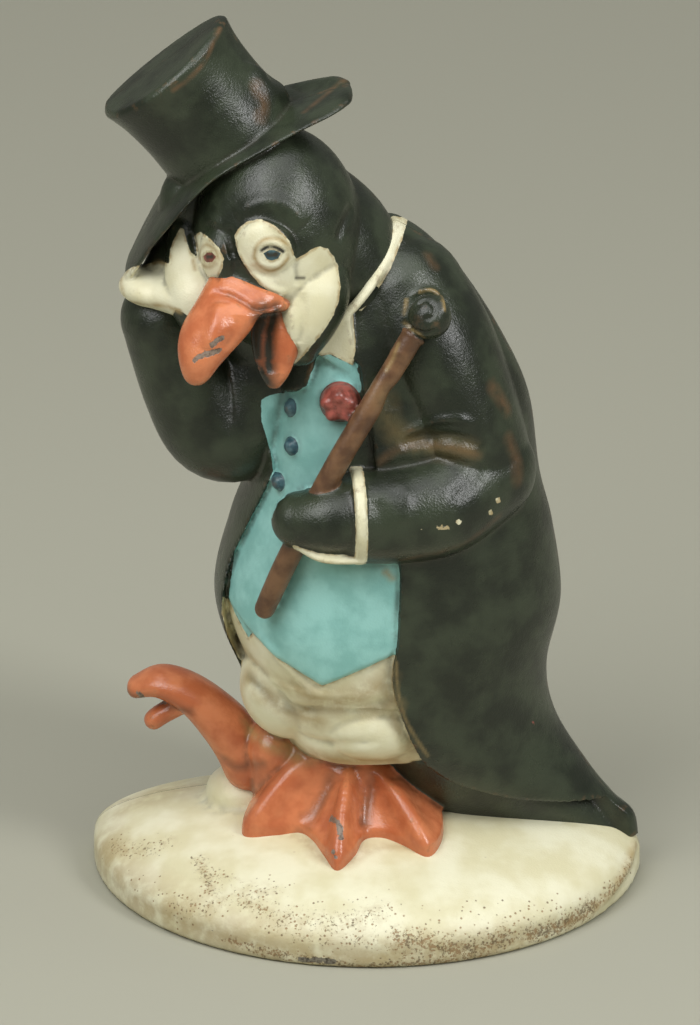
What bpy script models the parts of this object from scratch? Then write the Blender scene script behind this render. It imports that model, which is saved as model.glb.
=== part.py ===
"""Painted cast iron doorstop: a comic penguin in evening dress that tips its top hat.

The figure is cast in two hollow halves that meet on an upright parting plane and are drawn together
from behind by two machine screws. Frame: +Z up, the figure faces -Y, and the origin is the middle of
the underside. Every size below is in millimetres and becomes metres in the meshes.

The forms are placed from the middle of the base on the parting plane. Heights of the figure are
counted from the crest of the mound that it stands on, so the figure rises with the base.
"""

import math
from typing import NamedTuple

import bmesh
import bpy
from mathutils import Matrix, Vector

MM = 0.001

# Base: an oval mound with a low upright rim.
BASE_HALF_WIDTH = 73.1
BASE_FRONT = 67.7
BASE_REAR = 24.0
BASE_RIM = 6.0
BASE_DOME = 17.0
HILLOCK_AT = (-33.5, -6.0, -1.5)
HILLOCK_HALF_SIZES = (10.0, 11.0, 7.0)
CREST = BASE_RIM + BASE_DOME
PARTING_Y = (BASE_FRONT - BASE_REAR) / 2
# How far the figure stands to the right of the base's middle.
FIGURE_X = 0.8

# Casting: walls, and the gap that the two halves keep on the parting plane.
WALL = 4.5
PARTING_GAP = 0.3
COAT_CLOTH = 1.8
WAISTCOAT_CLOTH = 1.0
BODY_INSET = COAT_CLOTH + WAISTCOAT_CLOTH
RIM_WALL = 4.0
TOOL_REACH = 300.0

# Screws: No. 10 round head machine screws, and what they pass through.
SCREW_RADIUS = 2.4
SCREW_HEAD_RADIUS = 4.7
SCREW_HEAD_HEIGHT = 3.4
SCREW_LENGTH = 38.0
SCREW_SLOT_WIDTH = 1.4
SCREW_SLOT_DEPTH = 1.8
SCREW_CLEARANCE = 0.3
SCREW_SEAT_Y = 15.0
SEAT_GAP = 0.3
HEAD_CLEARANCE = 0.6
THREAD_RUNOUT = 3.0
BOSS_WALL = 3.2
UPPER_SCREW_AT = (6.0, 110.0)
LOWER_SCREW_AT = (8.0, 41.0)

# Locating pins of the front half, and their sockets in the rear half.
PIN_RADIUS = 2.0
PIN_LENGTH = 3.0
PIN_CLEARANCE = 0.4
PIN_PAD_RADIUS = 5.0
PIN_PLACES = ((-31.0, 62.0), (38.0, 88.0))

# Head, face and beak.
HEAD_CENTRE = (-23.5, -11.0, 162.5)
HEAD_HALF_WIDTH = 22.5
HEAD_HALF_DEPTH = 23.0
HEAD_HALF_HEIGHT = 31.0
NECK_RADIUS = 19.0
THROAT_AT = (-13.5, -12.0, 141.0)
THROAT_HALF_SIZES = (13.0, 13.0, 12.0)
TEMPLE_AT = (-46.5, -6.0, 168.0)
TEMPLE_HALF_SIZES = (9.0, 9.0, 13.0)
EYE_HALF_WIDTH = 7.8
EYE_HALF_HEIGHT = 7.6
EYE_RELIEF = 3.0
EYE_SINK = 1.0
CHEEK_RADIUS = 9.0
BILL_FACING = Vector((0.079, -0.903, 0.423))

# Top hat.
CROWN_BASE_AT = (-38.5, 0.0, 188.0)
CROWN_TOP_RADIUS = 20.8
CROWN_WAIST_RADIUS = 18.8
CROWN_BASE_RADIUS = 19.6
CROWN_TILT = math.radians(40.0)
CROWN_LENGTH = 25.5
CROWN_ROUNDING = 1.2
CROWN_REAR_SHARE = 0.65
CROWN_REAR_SLOPE = 0.1
BRIM_THICKNESS = 3.0
BRIM_HALF_DEPTH = 21.0

# Arms, hands and cane.
SLEEVE_RADIUS = 14.5
SHOULDER_RADIUS = 16.9
ARMPIT_AT = (-28.0, -8.0, 137.0)
ARMPIT_HALF_SIZES = (13.0, 11.0, 16.0)
RAISED_CUFF_AT = (-54.0, -14.5, 149.0)
RAISED_CUFF_HALF_SIZES = (11.3, 9.5, 5.0)
CUFF_AT = (0.8, -34.0, 93.6)
CUFF_RADIUS = 12.9
CUFF_THICKNESS = 2.6
HAND_LENGTH = 17.5
CANE_RADIUS = 3.1
CANE_KNOB_RADIUS = 5.8
CANE_KNOB_AT = (18.0, -27.5, 148.8)

# Dress details.
COAT_EDGE = 3.0
COLLAR_RADIUS = 1.8
COLLAR_CENTRE = (-7.2, -2.5, 151.0)
COLLAR_SIDE_REACH = (15.0, 0.0, 12.0)
COLLAR_FRONT_REACH = (0.0, 22.0, 6.5)
COLLAR_BACK_REACH = (0.0, 16.5, 0.0)
COLLAR_WING = ((-3.2, 147.0), (-10.0, 142.0), (-13.5, 137.0), (-3.0, 130.5), (-2.0, 138.0))
WING_SEAT = (-5.0, 140.0)
WING_RELIEF = 2.5
WING_ROOT_Y = -10.0
ROSE_RADIUS = 5.2
ROSE_AT = (-5.6, 123.6)
BUTTON_RADIUS = 2.3
BUTTONS_AT = ((-18.8, 119.0), (-18.4, 109.5), (-21.8, 98.5))
LEFT_LEG_AT = (-19.0, -14.5, 35.0)
LEFT_LEG_HALF_SIZES = (14.5, 15.5, 15.0)
RIGHT_LEG_AT = (2.0, -19.0, 29.0)
RIGHT_LEG_HALF_SIZES = (17.0, 16.0, 12.0)

# Feet.
TOE_RADIUS = 3.4
TOE_RIDGE = 1.9
TOE_RIDGE_WIDTH = 0.6
TOE_RIDGE_FLARE = 0.3
TOE_TIPS = (2, 7, 12)
ANKLE_RADIUS = 6.5
ANKLE_AT = (-3.0, -15.5, 16.0)
ANKLE_HALF_SIZES = (17.0, 7.0)
ANKLE_SLOPE = -0.19
WEB_THICKNESS = 12.0
WEB_EDGE = 2.2
WEB_LIP = 0.66
WEB_SAG = 1.3
WEB_SHARES = (0.985, 0.82, 0.62, 0.42, 0.2, 0.0)
WEB_STEPS = 2

DEPTH_AXIS = Vector((0.0, 1.0, 0.0))
LEVEL_SIDES = 28
ROUND_SIDES = 22
LIMB_SIDES = 14
SMALL_SIDES = 10


class Section(NamedTuple):
    """A level cut through the figure: its edges on the parting plane and its two crowns.

    The crown line is where the section stands out most, so a body that is turned a little has
    its crown off the middle.
    """

    height: float
    left: float
    crown: float
    right: float
    front: float
    rear: float


class BillCut(NamedTuple):
    """A cut across the beak: its two edges, its depth, and how far it bulges in front and behind."""

    left_x: float
    left_z: float
    right_x: float
    right_z: float
    y: float
    front: float
    behind: float


class Station(NamedTuple):
    """A place on a limb's centre line, with its half sizes along the depth and square to it."""

    x: float
    y: float
    z: float
    wide: float
    thick: float


COAT = (
    Section(-13.0, 16.0, 40.0, 71.9, 8.0, 9.0),
    Section(-6.5, 6.0, 28.5, 70.6, 13.5, 12.2),
    Section(-2.0, -0.5, 22.5, 65.6, 17.8, 14.2),
    Section(7.0, -12.0, 12.0, 58.4, 26.0, 18.0),
    Section(22.0, -25.0, 1.0, 49.5, 34.0, 21.0),
    Section(37.0, -34.5, -6.0, 47.1, 38.0, 23.0),
    Section(57.0, -41.4, -9.0, 50.8, 39.5, 24.0),
    Section(78.0, -37.3, -9.0, 48.4, 37.5, 24.0),
    Section(93.0, -32.3, -9.0, 44.9, 34.8, 23.7),
    Section(115.0, -29.0, -9.0, 42.0, 31.0, 22.0),
    Section(132.0, -24.0, -6.0, 34.8, 27.0, 20.0),
    Section(148.0, -17.0, 0.0, 25.0, 20.0, 17.0),
    Section(158.0, -8.0, 3.0, 16.0, 12.0, 12.0),
    Section(163.0, -2.0, 4.0, 9.0, 7.0, 7.0),
)
HIPS = (
    Section(-8.0, -20.0, 0.0, 26.0, 16.0, 14.0),
    Section(11.0, -21.0, -2.0, 27.0, 16.0, 16.0),
    Section(15.0, -21.0, -2.0, 29.0, 18.0, 16.0),
    Section(18.0, -23.0, -3.0, 33.0, 28.0, 17.0),
    Section(28.0, -28.0, -6.0, 40.0, 32.0, 20.0),
    Section(42.0, -34.0, -8.0, 44.0, 36.0, 21.0),
)
# The hollow inside the hips, whose wall is a little thicker at the trouser hem.
HIP_SPACE = (
    Section(-8.0, -15.0, 0.0, 21.0, 11.0, 9.0),
    Section(11.0, -16.5, -2.0, 22.0, 11.5, 11.0),
    Section(17.0, -18.0, -3.0, 27.0, 14.0, 12.0),
    Section(28.0, -24.0, -6.0, 35.0, 27.0, 15.0),
    Section(42.0, -29.0, -8.0, 39.0, 31.0, 16.0),
)
# The inside of the coat's tail, which shows between its hem and the mound.
LINING = (
    Section(-14.0, 30.0, 48.0, 70.0, 6.0, 7.0),
    Section(-5.0, 12.0, 32.0, 63.0, 13.0, 11.0),
    Section(7.0, 2.0, 20.0, 52.0, 21.0, 15.0),
    Section(18.0, 0.0, 14.0, 45.0, 25.0, 17.0),
)
# The coat's front edges, seen from the front: up the left side, over the chest and down the right.
COAT_OPENING = (
    (-31.5, 38.0),
    (-34.0, 43.0),
    (-35.5, 53.0),
    (-33.5, 64.0),
    (-29.0, 79.5),
    (-22.0, 101.0),
    (-24.0, 112.0),
    (-26.0, 121.0),
    (-20.0, 125.0),
    (-14.6, 126.0),
    (-12.8, 131.5),
    (-8.0, 136.5),
    (-1.3, 134.5),
    (0.5, 126.5),
    (3.5, 112.0),
    (6.5, 96.0),
    (10.8, 81.5),
    (10.8, 60.0),
    (9.3, 46.5),
    (12.0, 33.5),
    (18.5, 18.5),
    (32.0, 9.0),
    (52.0, 2.0),
    (90.0, -6.0),
)
# The waistcoat's pointed lower edge.
WAISTCOAT_HEM = ((-46.0, 66.0), (-28.0, 55.0), (-9.5, 45.0), (9.5, 54.5), (60.0, 70.0))
# From which height of the body up the coat stands over trousers, and where the trunk's hollow ends.
TROUSER_HEM = 30.0
TRUNK_TOP = 145.0

# The beak's upper and lower halves, from the face to the tips.
UPPER_BILL = (
    BillCut(-34.1, 159.3, -19.2, 152.0, -20.0, 6.0, 6.0),
    BillCut(-39.3, 158.5, -16.9, 152.1, -27.0, 7.5, 6.0),
    BillCut(-42.8, 153.9, -19.6, 151.9, -33.0, 8.0, 5.0),
    BillCut(-46.1, 149.0, -26.0, 149.9, -38.0, 7.5, 3.5),
    BillCut(-47.1, 144.7, -31.0, 145.4, -42.0, 6.0, 2.8),
    BillCut(-46.3, 140.3, -35.4, 141.0, -45.0, 4.5, 2.2),
    BillCut(-44.8, 136.9, -38.4, 137.2, -46.5, 2.6, 1.5),
    BillCut(-42.9, 135.5, -40.5, 135.6, -47.0, 1.0, 0.8),
)
LOWER_BILL = (
    BillCut(-27.0, 152.3, -17.1, 152.1, -22.0, 3.0, 6.0),
    BillCut(-28.6, 148.6, -15.8, 152.1, -28.0, 3.4, 6.0),
    BillCut(-28.8, 143.2, -15.8, 146.1, -31.5, 3.4, 6.0),
    BillCut(-27.8, 137.7, -16.4, 140.0, -33.5, 3.2, 5.0),
    BillCut(-25.9, 133.2, -18.1, 134.6, -34.8, 2.4, 3.0),
    BillCut(-24.2, 130.8, -20.2, 131.3, -35.3, 1.5, 1.8),
    BillCut(-22.9, 130.1, -21.3, 130.2, -35.5, 0.6, 0.8),
)
# The rim of the standing foot's web, in x and depth, round from its left heel past the three toes.
WEB = (
    (-27.5, -5.0),
    (-30.5, -15.0),
    (-31.5, -29.5),
    (-22.8, -30.5),
    (-16.2, -29.5),
    (-12.3, -33.5),
    (-9.0, -39.8),
    (-4.8, -46.5),
    (-0.6, -39.8),
    (1.2, -32.5),
    (6.0, -31.0),
    (12.0, -34.0),
    (18.9, -38.0),
    (21.8, -28.5),
    (20.0, -15.0),
    (14.0, -5.0),
    (-6.0, -1.0),
)

PAINTS = {
    "black_enamel": ((0.012, 0.013, 0.012), 0.38, 0.0),
    "cream_enamel": ((0.80, 0.74, 0.58), 0.42, 0.0),
    "orange_enamel": ((0.60, 0.13, 0.06), 0.30, 0.0),
    "blue_enamel": ((0.28, 0.57, 0.60), 0.42, 0.0),
    "red_enamel": ((0.34, 0.03, 0.035), 0.35, 0.0),
    "brown_enamel": ((0.13, 0.055, 0.035), 0.42, 0.0),
    "navy_enamel": ((0.03, 0.08, 0.15), 0.38, 0.0),
    "bare_iron": ((0.09, 0.08, 0.075), 0.75, 0.6),
    "screw_steel": ((0.30, 0.29, 0.27), 0.42, 1.0),
}


def clear_scene():
    """Removes whatever the scene holds."""
    for old in list(bpy.data.objects):
        bpy.data.objects.remove(old, do_unlink=True)


def paint(name):
    """The material of this name, made on first use."""
    material = bpy.data.materials.get(name)
    if material is None:
        colour, roughness, metallic = PAINTS[name]
        material = bpy.data.materials.new(name)
        material.use_nodes = True
        shader = material.node_tree.nodes["Principled BSDF"]
        shader.inputs["Base Color"].default_value = (*colour, 1.0)
        shader.inputs["Roughness"].default_value = roughness
        shader.inputs["Metallic"].default_value = metallic
        material.diffuse_color = (*colour, 1.0)
    return material


def add_object(name, bm, paint_name):
    """A closed mesh object from bm, in metres, with its faces out."""
    bmesh.ops.recalc_face_normals(bm, faces=bm.faces)
    bmesh.ops.scale(bm, vec=(MM, MM, MM), verts=bm.verts)
    mesh = bpy.data.meshes.new(name)
    bm.to_mesh(mesh)
    bm.free()
    return link_painted(name, mesh, paint_name)


def link_painted(name, mesh, paint_name):
    """An object of this mesh with every paint as a slot, so that joined forms keep their own."""
    mesh.materials.clear()
    for each in PAINTS:
        mesh.materials.append(paint(each))
    mesh.polygons.foreach_set("material_index", [list(PAINTS).index(paint_name)] * len(mesh.polygons))
    obj = bpy.data.objects.new(name, mesh)
    bpy.context.scene.collection.objects.link(obj)
    return obj


def at_height(place):
    """A point of the figure, moved to where the figure stands on the base."""
    x, y, z = place
    return Vector((x + FIGURE_X, y, z + CREST))


def smooth_rows(rows, steps):
    """Rows of numbers run through a Catmull-Rom curve, with this many steps from row to row."""
    result = []
    last = len(rows) - 1
    for index in range(last):
        before = rows[max(index - 1, 0)]
        start = rows[index]
        end = rows[index + 1]
        after = rows[min(index + 2, last)]
        for step in range(steps):
            t = step / steps
            row = []
            for p, q, r, s in zip(before, start, end, after):
                row.append(
                    q
                    + 0.5 * t * (r - p)
                    + t * t * (p - 2.5 * q + 2.0 * r - 0.5 * s)
                    + t * t * t * (1.5 * q - 1.5 * r + 0.5 * s - 0.5 * p)
                )
            result.append(row)
    result.append(list(rows[last]))
    return result


def skin(name, rings, paint_name):
    """A closed skin over rings of points, each ring a reshaped circle bridged to the next."""
    bm = bmesh.new()
    loops = []
    for points in rings:
        made = bmesh.ops.create_circle(bm, segments=len(points), radius=1.0)
        for vert, point in zip(made["verts"], points):
            vert.co = point
        loops.append(list({edge for vert in made["verts"] for edge in vert.link_edges}))
    for lower, upper in zip(loops, loops[1:]):
        bmesh.ops.bridge_loops(bm, edges=lower + upper)
    for loop in (loops[0], loops[-1]):
        bmesh.ops.edgeloop_fill(bm, edges=loop)
    return add_object(name, bm, paint_name)


def level_loft(name, sections, inset, paint_name, steps=2):
    """A loft through level sections, each drawn in by the inset."""
    rings = []
    for row in smooth_rows(sections, steps):
        cut = Section(*row)
        points = []
        for side in range(LEVEL_SIDES):
            angle = 2 * math.pi * side / LEVEL_SIDES
            c = math.cos(angle)
            s = math.sin(angle)
            reach = cut.right - cut.crown if c > 0 else cut.crown - cut.left
            bulge = cut.rear if s > 0 else cut.front
            place = (cut.crown + (reach - inset) * c, (bulge - inset) * s, cut.height)
            points.append(at_height(place))
        rings.append(points)
    return skin(name, rings, paint_name)


def limb(name, stations, paint_name, steps=2, sides=LIMB_SIDES, round_ends=True):
    """A loft along a centre line, with each section's wide side as near to the depth as it can be."""
    rows = [Station(*row) for row in smooth_rows(stations, steps)]
    centres = [Vector((row.x, row.y, row.z)) for row in rows]
    cuts = []
    for index, row in enumerate(rows):
        ahead = centres[min(index + 1, len(rows) - 1)]
        behind = centres[max(index - 1, 0)]
        run = (ahead - behind).normalized()
        wide = (DEPTH_AXIS - run * DEPTH_AXIS.dot(run)).normalized()
        cuts.append((centres[index], run, wide * row.wide, run.cross(wide) * row.thick))
    if round_ends:
        domes = []
        for centre, run, wide, thick in (cuts[0], cuts[-1]):
            reach = min(wide.length, thick.length)
            outward = -reach if centre == centres[0] else reach
            dome = []
            for angle in (26.0, 52.0, 78.0):
                turn = math.radians(angle)
                place = centre + run * outward * math.sin(turn)
                dome.append((place, run, wide * math.cos(turn), thick * math.cos(turn)))
            domes.append(dome)
        cuts = domes[0][::-1] + cuts + domes[1]
    rings = []
    for centre, _, wide, thick in cuts:
        ring = []
        for side in range(sides):
            angle = 2 * math.pi * side / sides
            ring.append(at_height(centre + wide * math.cos(angle) + thick * math.sin(angle)))
        rings.append(ring)
    return skin(name, rings, paint_name)


def bill(name, cuts, paint_name, steps=2, sides=LIMB_SIDES):
    """A half of the beak: a loft through flattened cuts that all face the same way."""
    rings = []
    for row in smooth_rows(cuts, steps):
        cut = BillCut(*row)
        left = Vector((cut.left_x, cut.y, cut.left_z))
        right = Vector((cut.right_x, cut.y, cut.right_z))
        ring = []
        for side in range(sides):
            angle = 2 * math.pi * side / sides
            s = math.sin(angle)
            across = (right - left) / 2 * math.cos(angle)
            bulge = BILL_FACING * (cut.front if s > 0 else cut.behind) * s
            ring.append(at_height((left + right) / 2 + across + bulge))
        rings.append(ring)
    return skin(name, rings, paint_name)


def ellipsoid(name, centre, half_sizes, paint_name, turn=0.0, sides=ROUND_SIDES):
    """A ball with three half sizes, turned about the upright axis."""
    bm = bmesh.new()
    place = Matrix.Translation(at_height(centre)) @ Matrix.Rotation(turn, 4, "Z")
    place = place @ Matrix.Diagonal((*half_sizes, 1.0))
    bmesh.ops.create_uvsphere(bm, u_segments=sides, v_segments=sides // 2, radius=1.0, matrix=place)
    return add_object(name, bm, paint_name)


def pillar(name, x, z, radius, start_y, end_y, paint_name="bare_iron", sides=ROUND_SIDES):
    """A round bar along the depth, from one depth to another."""
    bm = bmesh.new()
    place = Matrix.Translation((x, (start_y + end_y) / 2, z + CREST)) @ Matrix.Rotation(math.pi / 2, 4, "X")
    bmesh.ops.create_cone(
        bm,
        cap_ends=True,
        segments=sides,
        radius1=radius,
        radius2=radius,
        depth=abs(end_y - start_y),
        matrix=place,
    )
    return add_object(name, bm, paint_name)


def slab(name, outline, start_y, end_y, paint_name="bare_iron"):
    """A flat outline in x and height, extruded along the depth."""
    bm = bmesh.new()
    verts = [bm.verts.new(at_height((x, start_y, z))) for x, z in outline]
    face = bm.faces.new(verts)
    made = bmesh.ops.extrude_face_region(bm, geom=[face], use_keep_orig=True)
    moved = [part for part in made["geom"] if isinstance(part, bmesh.types.BMVert)]
    bmesh.ops.translate(bm, vec=(0.0, end_y - start_y, 0.0), verts=moved)
    return add_object(name, bm, paint_name)


def baked(obj):
    """The object with its modifiers worked into its mesh."""
    graph = bpy.context.evaluated_depsgraph_get()
    mesh = bpy.data.meshes.new_from_object(obj.evaluated_get(graph))
    obj.modifiers.clear()
    obj.data = mesh
    return obj


def combine(body, tools, operation, solver="EXACT"):
    """Joins the tools to the body, or cuts them from it, and removes them.

    The exact solver loses whole layers of the sculpted figure, whose many skins lie close inside
    each other, and leaves open edges where the posts cross the hollow's skins. The figure, its
    hollow and the castings cut from them take the manifold solver.
    """
    for tool in tools:
        modifier = body.modifiers.new(tool.name, "BOOLEAN")
        modifier.operation = operation
        modifier.solver = solver
        modifier.object = tool
    baked(body)
    for tool in tools:
        bpy.data.objects.remove(tool, do_unlink=True)
    return body


def mound_share(x, y):
    """How far a point is from the middle of the base, as a share of the way to its edge."""
    reach = BASE_FRONT if y < 0 else BASE_REAR
    return math.hypot(x / BASE_HALF_WIDTH, y / reach)


def mound_height(x, y):
    """Height of the mound's surface at a point, counted from its crest."""
    share = min(mound_share(x, y), 1.0)
    return BASE_DOME * (math.sqrt(1.0 - share * share) - 1.0)


def mound(name, inset, bottom, paint_name):
    """The base's outer form, or with an inset its hollow: an upright rim under half an ellipsoid."""
    rings = []
    levels = [(bottom, 1.0), (BASE_RIM, 1.0)]
    rise = BASE_DOME - inset
    for angle in (18.0, 34.0, 48.0, 60.0, 71.0, 81.0):
        turn = math.radians(angle)
        levels.append((BASE_RIM + rise * math.sin(turn), math.cos(turn)))
    for height, share in levels:
        points = []
        for side in range(LEVEL_SIDES):
            angle = 2 * math.pi * side / LEVEL_SIDES
            reach = BASE_REAR if math.sin(angle) > 0 else BASE_FRONT
            x = (BASE_HALF_WIDTH - inset) * share * math.cos(angle)
            y = (reach - inset) * share * math.sin(angle)
            points.append(Vector((x, y, height)))
        rings.append(points)
    return skin(name, rings, paint_name)


def front_depth(x, height, inset):
    """How far the coat's loft stands out in front of the parting plane at a point of the figure."""
    lower = max((cut for cut in COAT if cut.height <= height), key=lambda cut: cut.height)
    upper = min((cut for cut in COAT if cut.height > height), key=lambda cut: cut.height)
    share = (height - lower.height) / (upper.height - lower.height)
    cut = Section(*(a + (b - a) * share for a, b in zip(lower, upper)))
    reach = (cut.right - cut.crown if x > cut.crown else cut.crown - cut.left) - inset
    off = min(abs(x - cut.crown) / reach, 0.95)
    return (cut.front - inset) * math.sqrt(1.0 - off * off)


def head_depth(x, height):
    """How far the head stands out in front of the parting plane at a point of the face."""
    across = (x - HEAD_CENTRE[0]) / HEAD_HALF_WIDTH
    up = (height - HEAD_CENTRE[2]) / HEAD_HALF_HEIGHT
    return HEAD_HALF_DEPTH * math.sqrt(max(1.0 - across * across - up * up, 0.1)) - HEAD_CENTRE[1]


def dress():
    """Coat, waistcoat and trousers: one body in three layers, each cut to its own edge."""
    coat = level_loft("coat", COAT, 0.0, "black_enamel")
    below = ((90.0, -60.0), (-90.0, -60.0), (-90.0, 38.0))
    opening = slab("opening", COAT_OPENING + below, -90.0, -COAT_EDGE, "black_enamel")
    combine(coat, [opening], "DIFFERENCE")
    upper = [cut for cut in COAT if cut.height > TROUSER_HEM]
    waistcoat = level_loft("waistcoat", upper, COAT_CLOTH, "blue_enamel")
    corners = tuple((x, 0.0) for x, _ in (WAISTCOAT_HEM[-1], WAISTCOAT_HEM[0]))
    hem = slab("hem", WAISTCOAT_HEM + corners, -90.0, 90.0, "blue_enamel")
    combine(waistcoat, [hem], "DIFFERENCE")
    return [
        coat,
        waistcoat,
        level_loft("trousers", upper[:-2], BODY_INSET, "cream_enamel"),
        level_loft("hips", HIPS, 0.0, "cream_enamel", steps=1),
        level_loft("lining", LINING, 0.0, "black_enamel"),
        ellipsoid("left_leg", LEFT_LEG_AT, LEFT_LEG_HALF_SIZES, "cream_enamel"),
        ellipsoid("right_leg", RIGHT_LEG_AT, RIGHT_LEG_HALF_SIZES, "cream_enamel"),
    ]


def head():
    """Head, neck, cheeks, eyes and the two halves of the beak."""
    half_sizes = (HEAD_HALF_WIDTH, HEAD_HALF_DEPTH, HEAD_HALF_HEIGHT)
    forms = [
        ellipsoid("head", HEAD_CENTRE, half_sizes, "black_enamel"),
        ellipsoid("throat", THROAT_AT, THROAT_HALF_SIZES, "black_enamel", sides=12),
        ellipsoid("temple", TEMPLE_AT, TEMPLE_HALF_SIZES, "black_enamel", sides=12),
    ]
    neck = (
        Station(-19.0, -5.0, 168.0, NECK_RADIUS - 1.0, NECK_RADIUS - 3.0),
        Station(-10.5, -3.5, 158.5, NECK_RADIUS - 0.5, NECK_RADIUS - 2.0),
        Station(-4.5, -3.5, 147.0, NECK_RADIUS - 1.5, NECK_RADIUS - 2.5),
    )
    forms.append(limb("neck", neck, "black_enamel", sides=20))
    left_cheek = (
        Station(-42.0, -23.5, 143.5, CHEEK_RADIUS - 4.0, CHEEK_RADIUS - 2.5),
        Station(-43.5, -23.0, 150.0, CHEEK_RADIUS - 2.0, CHEEK_RADIUS - 1.0),
        Station(-46.5, -18.5, 158.0, CHEEK_RADIUS - 4.0, CHEEK_RADIUS - 2.5),
        Station(-48.6, -14.5, 165.5, CHEEK_RADIUS - 6.5, CHEEK_RADIUS - 5.5),
    )
    right_cheek = (
        Station(-17.0, -28.0, 139.0, CHEEK_RADIUS - 4.0, CHEEK_RADIUS - 3.0),
        Station(-15.0, -27.5, 146.0, CHEEK_RADIUS - 1.0, CHEEK_RADIUS - 0.5),
        Station(-12.6, -24.5, 154.0, CHEEK_RADIUS, CHEEK_RADIUS + 0.5),
        Station(-12.0, -21.0, 161.0, CHEEK_RADIUS - 2.0, CHEEK_RADIUS - 1.5),
    )
    forms.append(limb("left_cheek", left_cheek, "cream_enamel", sides=SMALL_SIDES))
    forms.append(limb("right_cheek", right_cheek, "cream_enamel"))
    for name, x, height, half_width, turn in (
        ("left_eye", -38.0, 164.0, EYE_HALF_WIDTH - 1.5, -0.85),
        ("right_eye", -24.5, 169.0, EYE_HALF_WIDTH, -0.05),
    ):
        place = (x, -head_depth(x, height) + EYE_SINK, height)
        forms.append(
            ellipsoid(name, place, (half_width, EYE_RELIEF, EYE_HALF_HEIGHT), "cream_enamel", turn, 16)
        )
    forms.append(bill("upper_bill", UPPER_BILL, "orange_enamel"))
    forms.append(bill("lower_bill", LOWER_BILL, "orange_enamel", sides=SMALL_SIDES))
    return forms


def hat():
    """Top hat: a flared crown and a brim that droops to the left and curls up on the right."""
    base = Vector(CROWN_BASE_AT)
    axis = Vector((-math.sin(CROWN_TILT), 0.0, math.cos(CROWN_TILT)))
    across = Vector((math.cos(CROWN_TILT), 0.0, math.sin(CROWN_TILT)))
    profile = (
        (-8.0, CROWN_BASE_RADIUS - 1.5),
        (0.0, CROWN_BASE_RADIUS - 0.6),
        (CROWN_LENGTH * 0.35, CROWN_WAIST_RADIUS),
        (CROWN_LENGTH * 0.7, (CROWN_WAIST_RADIUS + CROWN_TOP_RADIUS) / 2 - 0.4),
        (CROWN_LENGTH - CROWN_ROUNDING, CROWN_TOP_RADIUS),
        (CROWN_LENGTH, CROWN_TOP_RADIUS - CROWN_ROUNDING),
    )
    rings = []
    for along, radius in profile:
        ring = []
        for side in range(ROUND_SIDES):
            angle = 2 * math.pi * side / ROUND_SIDES
            behind = radius * math.sin(angle)
            if behind > 0:
                behind *= CROWN_REAR_SHARE
            slope = CROWN_REAR_SLOPE * max(behind, 0.0) * along / CROWN_LENGTH
            centre = base + axis * (along - slope)
            ring.append(at_height(centre + across * radius * math.cos(angle) + DEPTH_AXIS * behind))
        rings.append(ring)
    crown = skin("crown", rings, "black_enamel")
    half = BRIM_THICKNESS / 2
    path = (
        Station(-62.6, -6.0, 151.5, BRIM_HALF_DEPTH * 0.5, half),
        Station(-59.3, -6.0, 158.0, BRIM_HALF_DEPTH * 0.78, half),
        Station(-53.5, -5.0, 167.5, BRIM_HALF_DEPTH * 0.95, half),
        Station(-41.0, -4.0, 183.0, BRIM_HALF_DEPTH, half),
        Station(-28.0, -4.0, 191.5, BRIM_HALF_DEPTH * 0.9, half),
        Station(-17.5, -3.5, 196.5, BRIM_HALF_DEPTH * 0.7, half),
        Station(-9.5, -2.5, 199.5, BRIM_HALF_DEPTH * 0.52, half),
        Station(-6.0, -2.0, 200.8, BRIM_HALF_DEPTH * 0.35, half),
    )
    return [crown, limb("brim", path, "black_enamel", sides=24, steps=2)]


def raised_arm():
    """The arm at the hat: sleeve, cuff and the flipper that holds the brim."""
    sleeve = (
        Station(-54.0, -10.0, 138.0, SLEEVE_RADIUS - 2.0, SLEEVE_RADIUS - 3.2),
        Station(-46.3, -10.0, 119.0, SLEEVE_RADIUS, SLEEVE_RADIUS - 1.0),
        Station(-39.8, -9.5, 107.6, SLEEVE_RADIUS + 1.0, SLEEVE_RADIUS),
        Station(-32.0, -8.5, 109.0, SLEEVE_RADIUS, SLEEVE_RADIUS + 1.0),
        Station(-25.0, -5.0, 122.0, SLEEVE_RADIUS, SLEEVE_RADIUS + 2.0),
        Station(-20.0, -4.0, 137.0, SLEEVE_RADIUS - 1.0, SLEEVE_RADIUS),
    )
    flipper = (
        Station(-54.5, -8.5, 142.0, 7.0, 7.5),
        Station(-52.5, -9.5, 151.0, 7.5, 7.0),
        Station(-49.0, -10.0, 160.0, 6.0, 5.5),
    )
    palm = (
        Station(-54.0, -15.0, 149.0, 8.5, 5.0),
        Station(-47.5, -19.0, 149.3, 8.5, 5.5),
        Station(-43.0, -22.5, 149.5, 8.0, 6.0),
    )
    return [
        limb("raised_sleeve", sleeve, "black_enamel"),
        ellipsoid("armpit", ARMPIT_AT, ARMPIT_HALF_SIZES, "black_enamel", sides=12),
        ellipsoid("raised_cuff", RAISED_CUFF_AT, RAISED_CUFF_HALF_SIZES, "cream_enamel", sides=16),
        limb("raised_flipper", flipper, "black_enamel", sides=SMALL_SIDES),
        limb("palm", palm, "cream_enamel", sides=SMALL_SIDES, steps=1),
    ]


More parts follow.
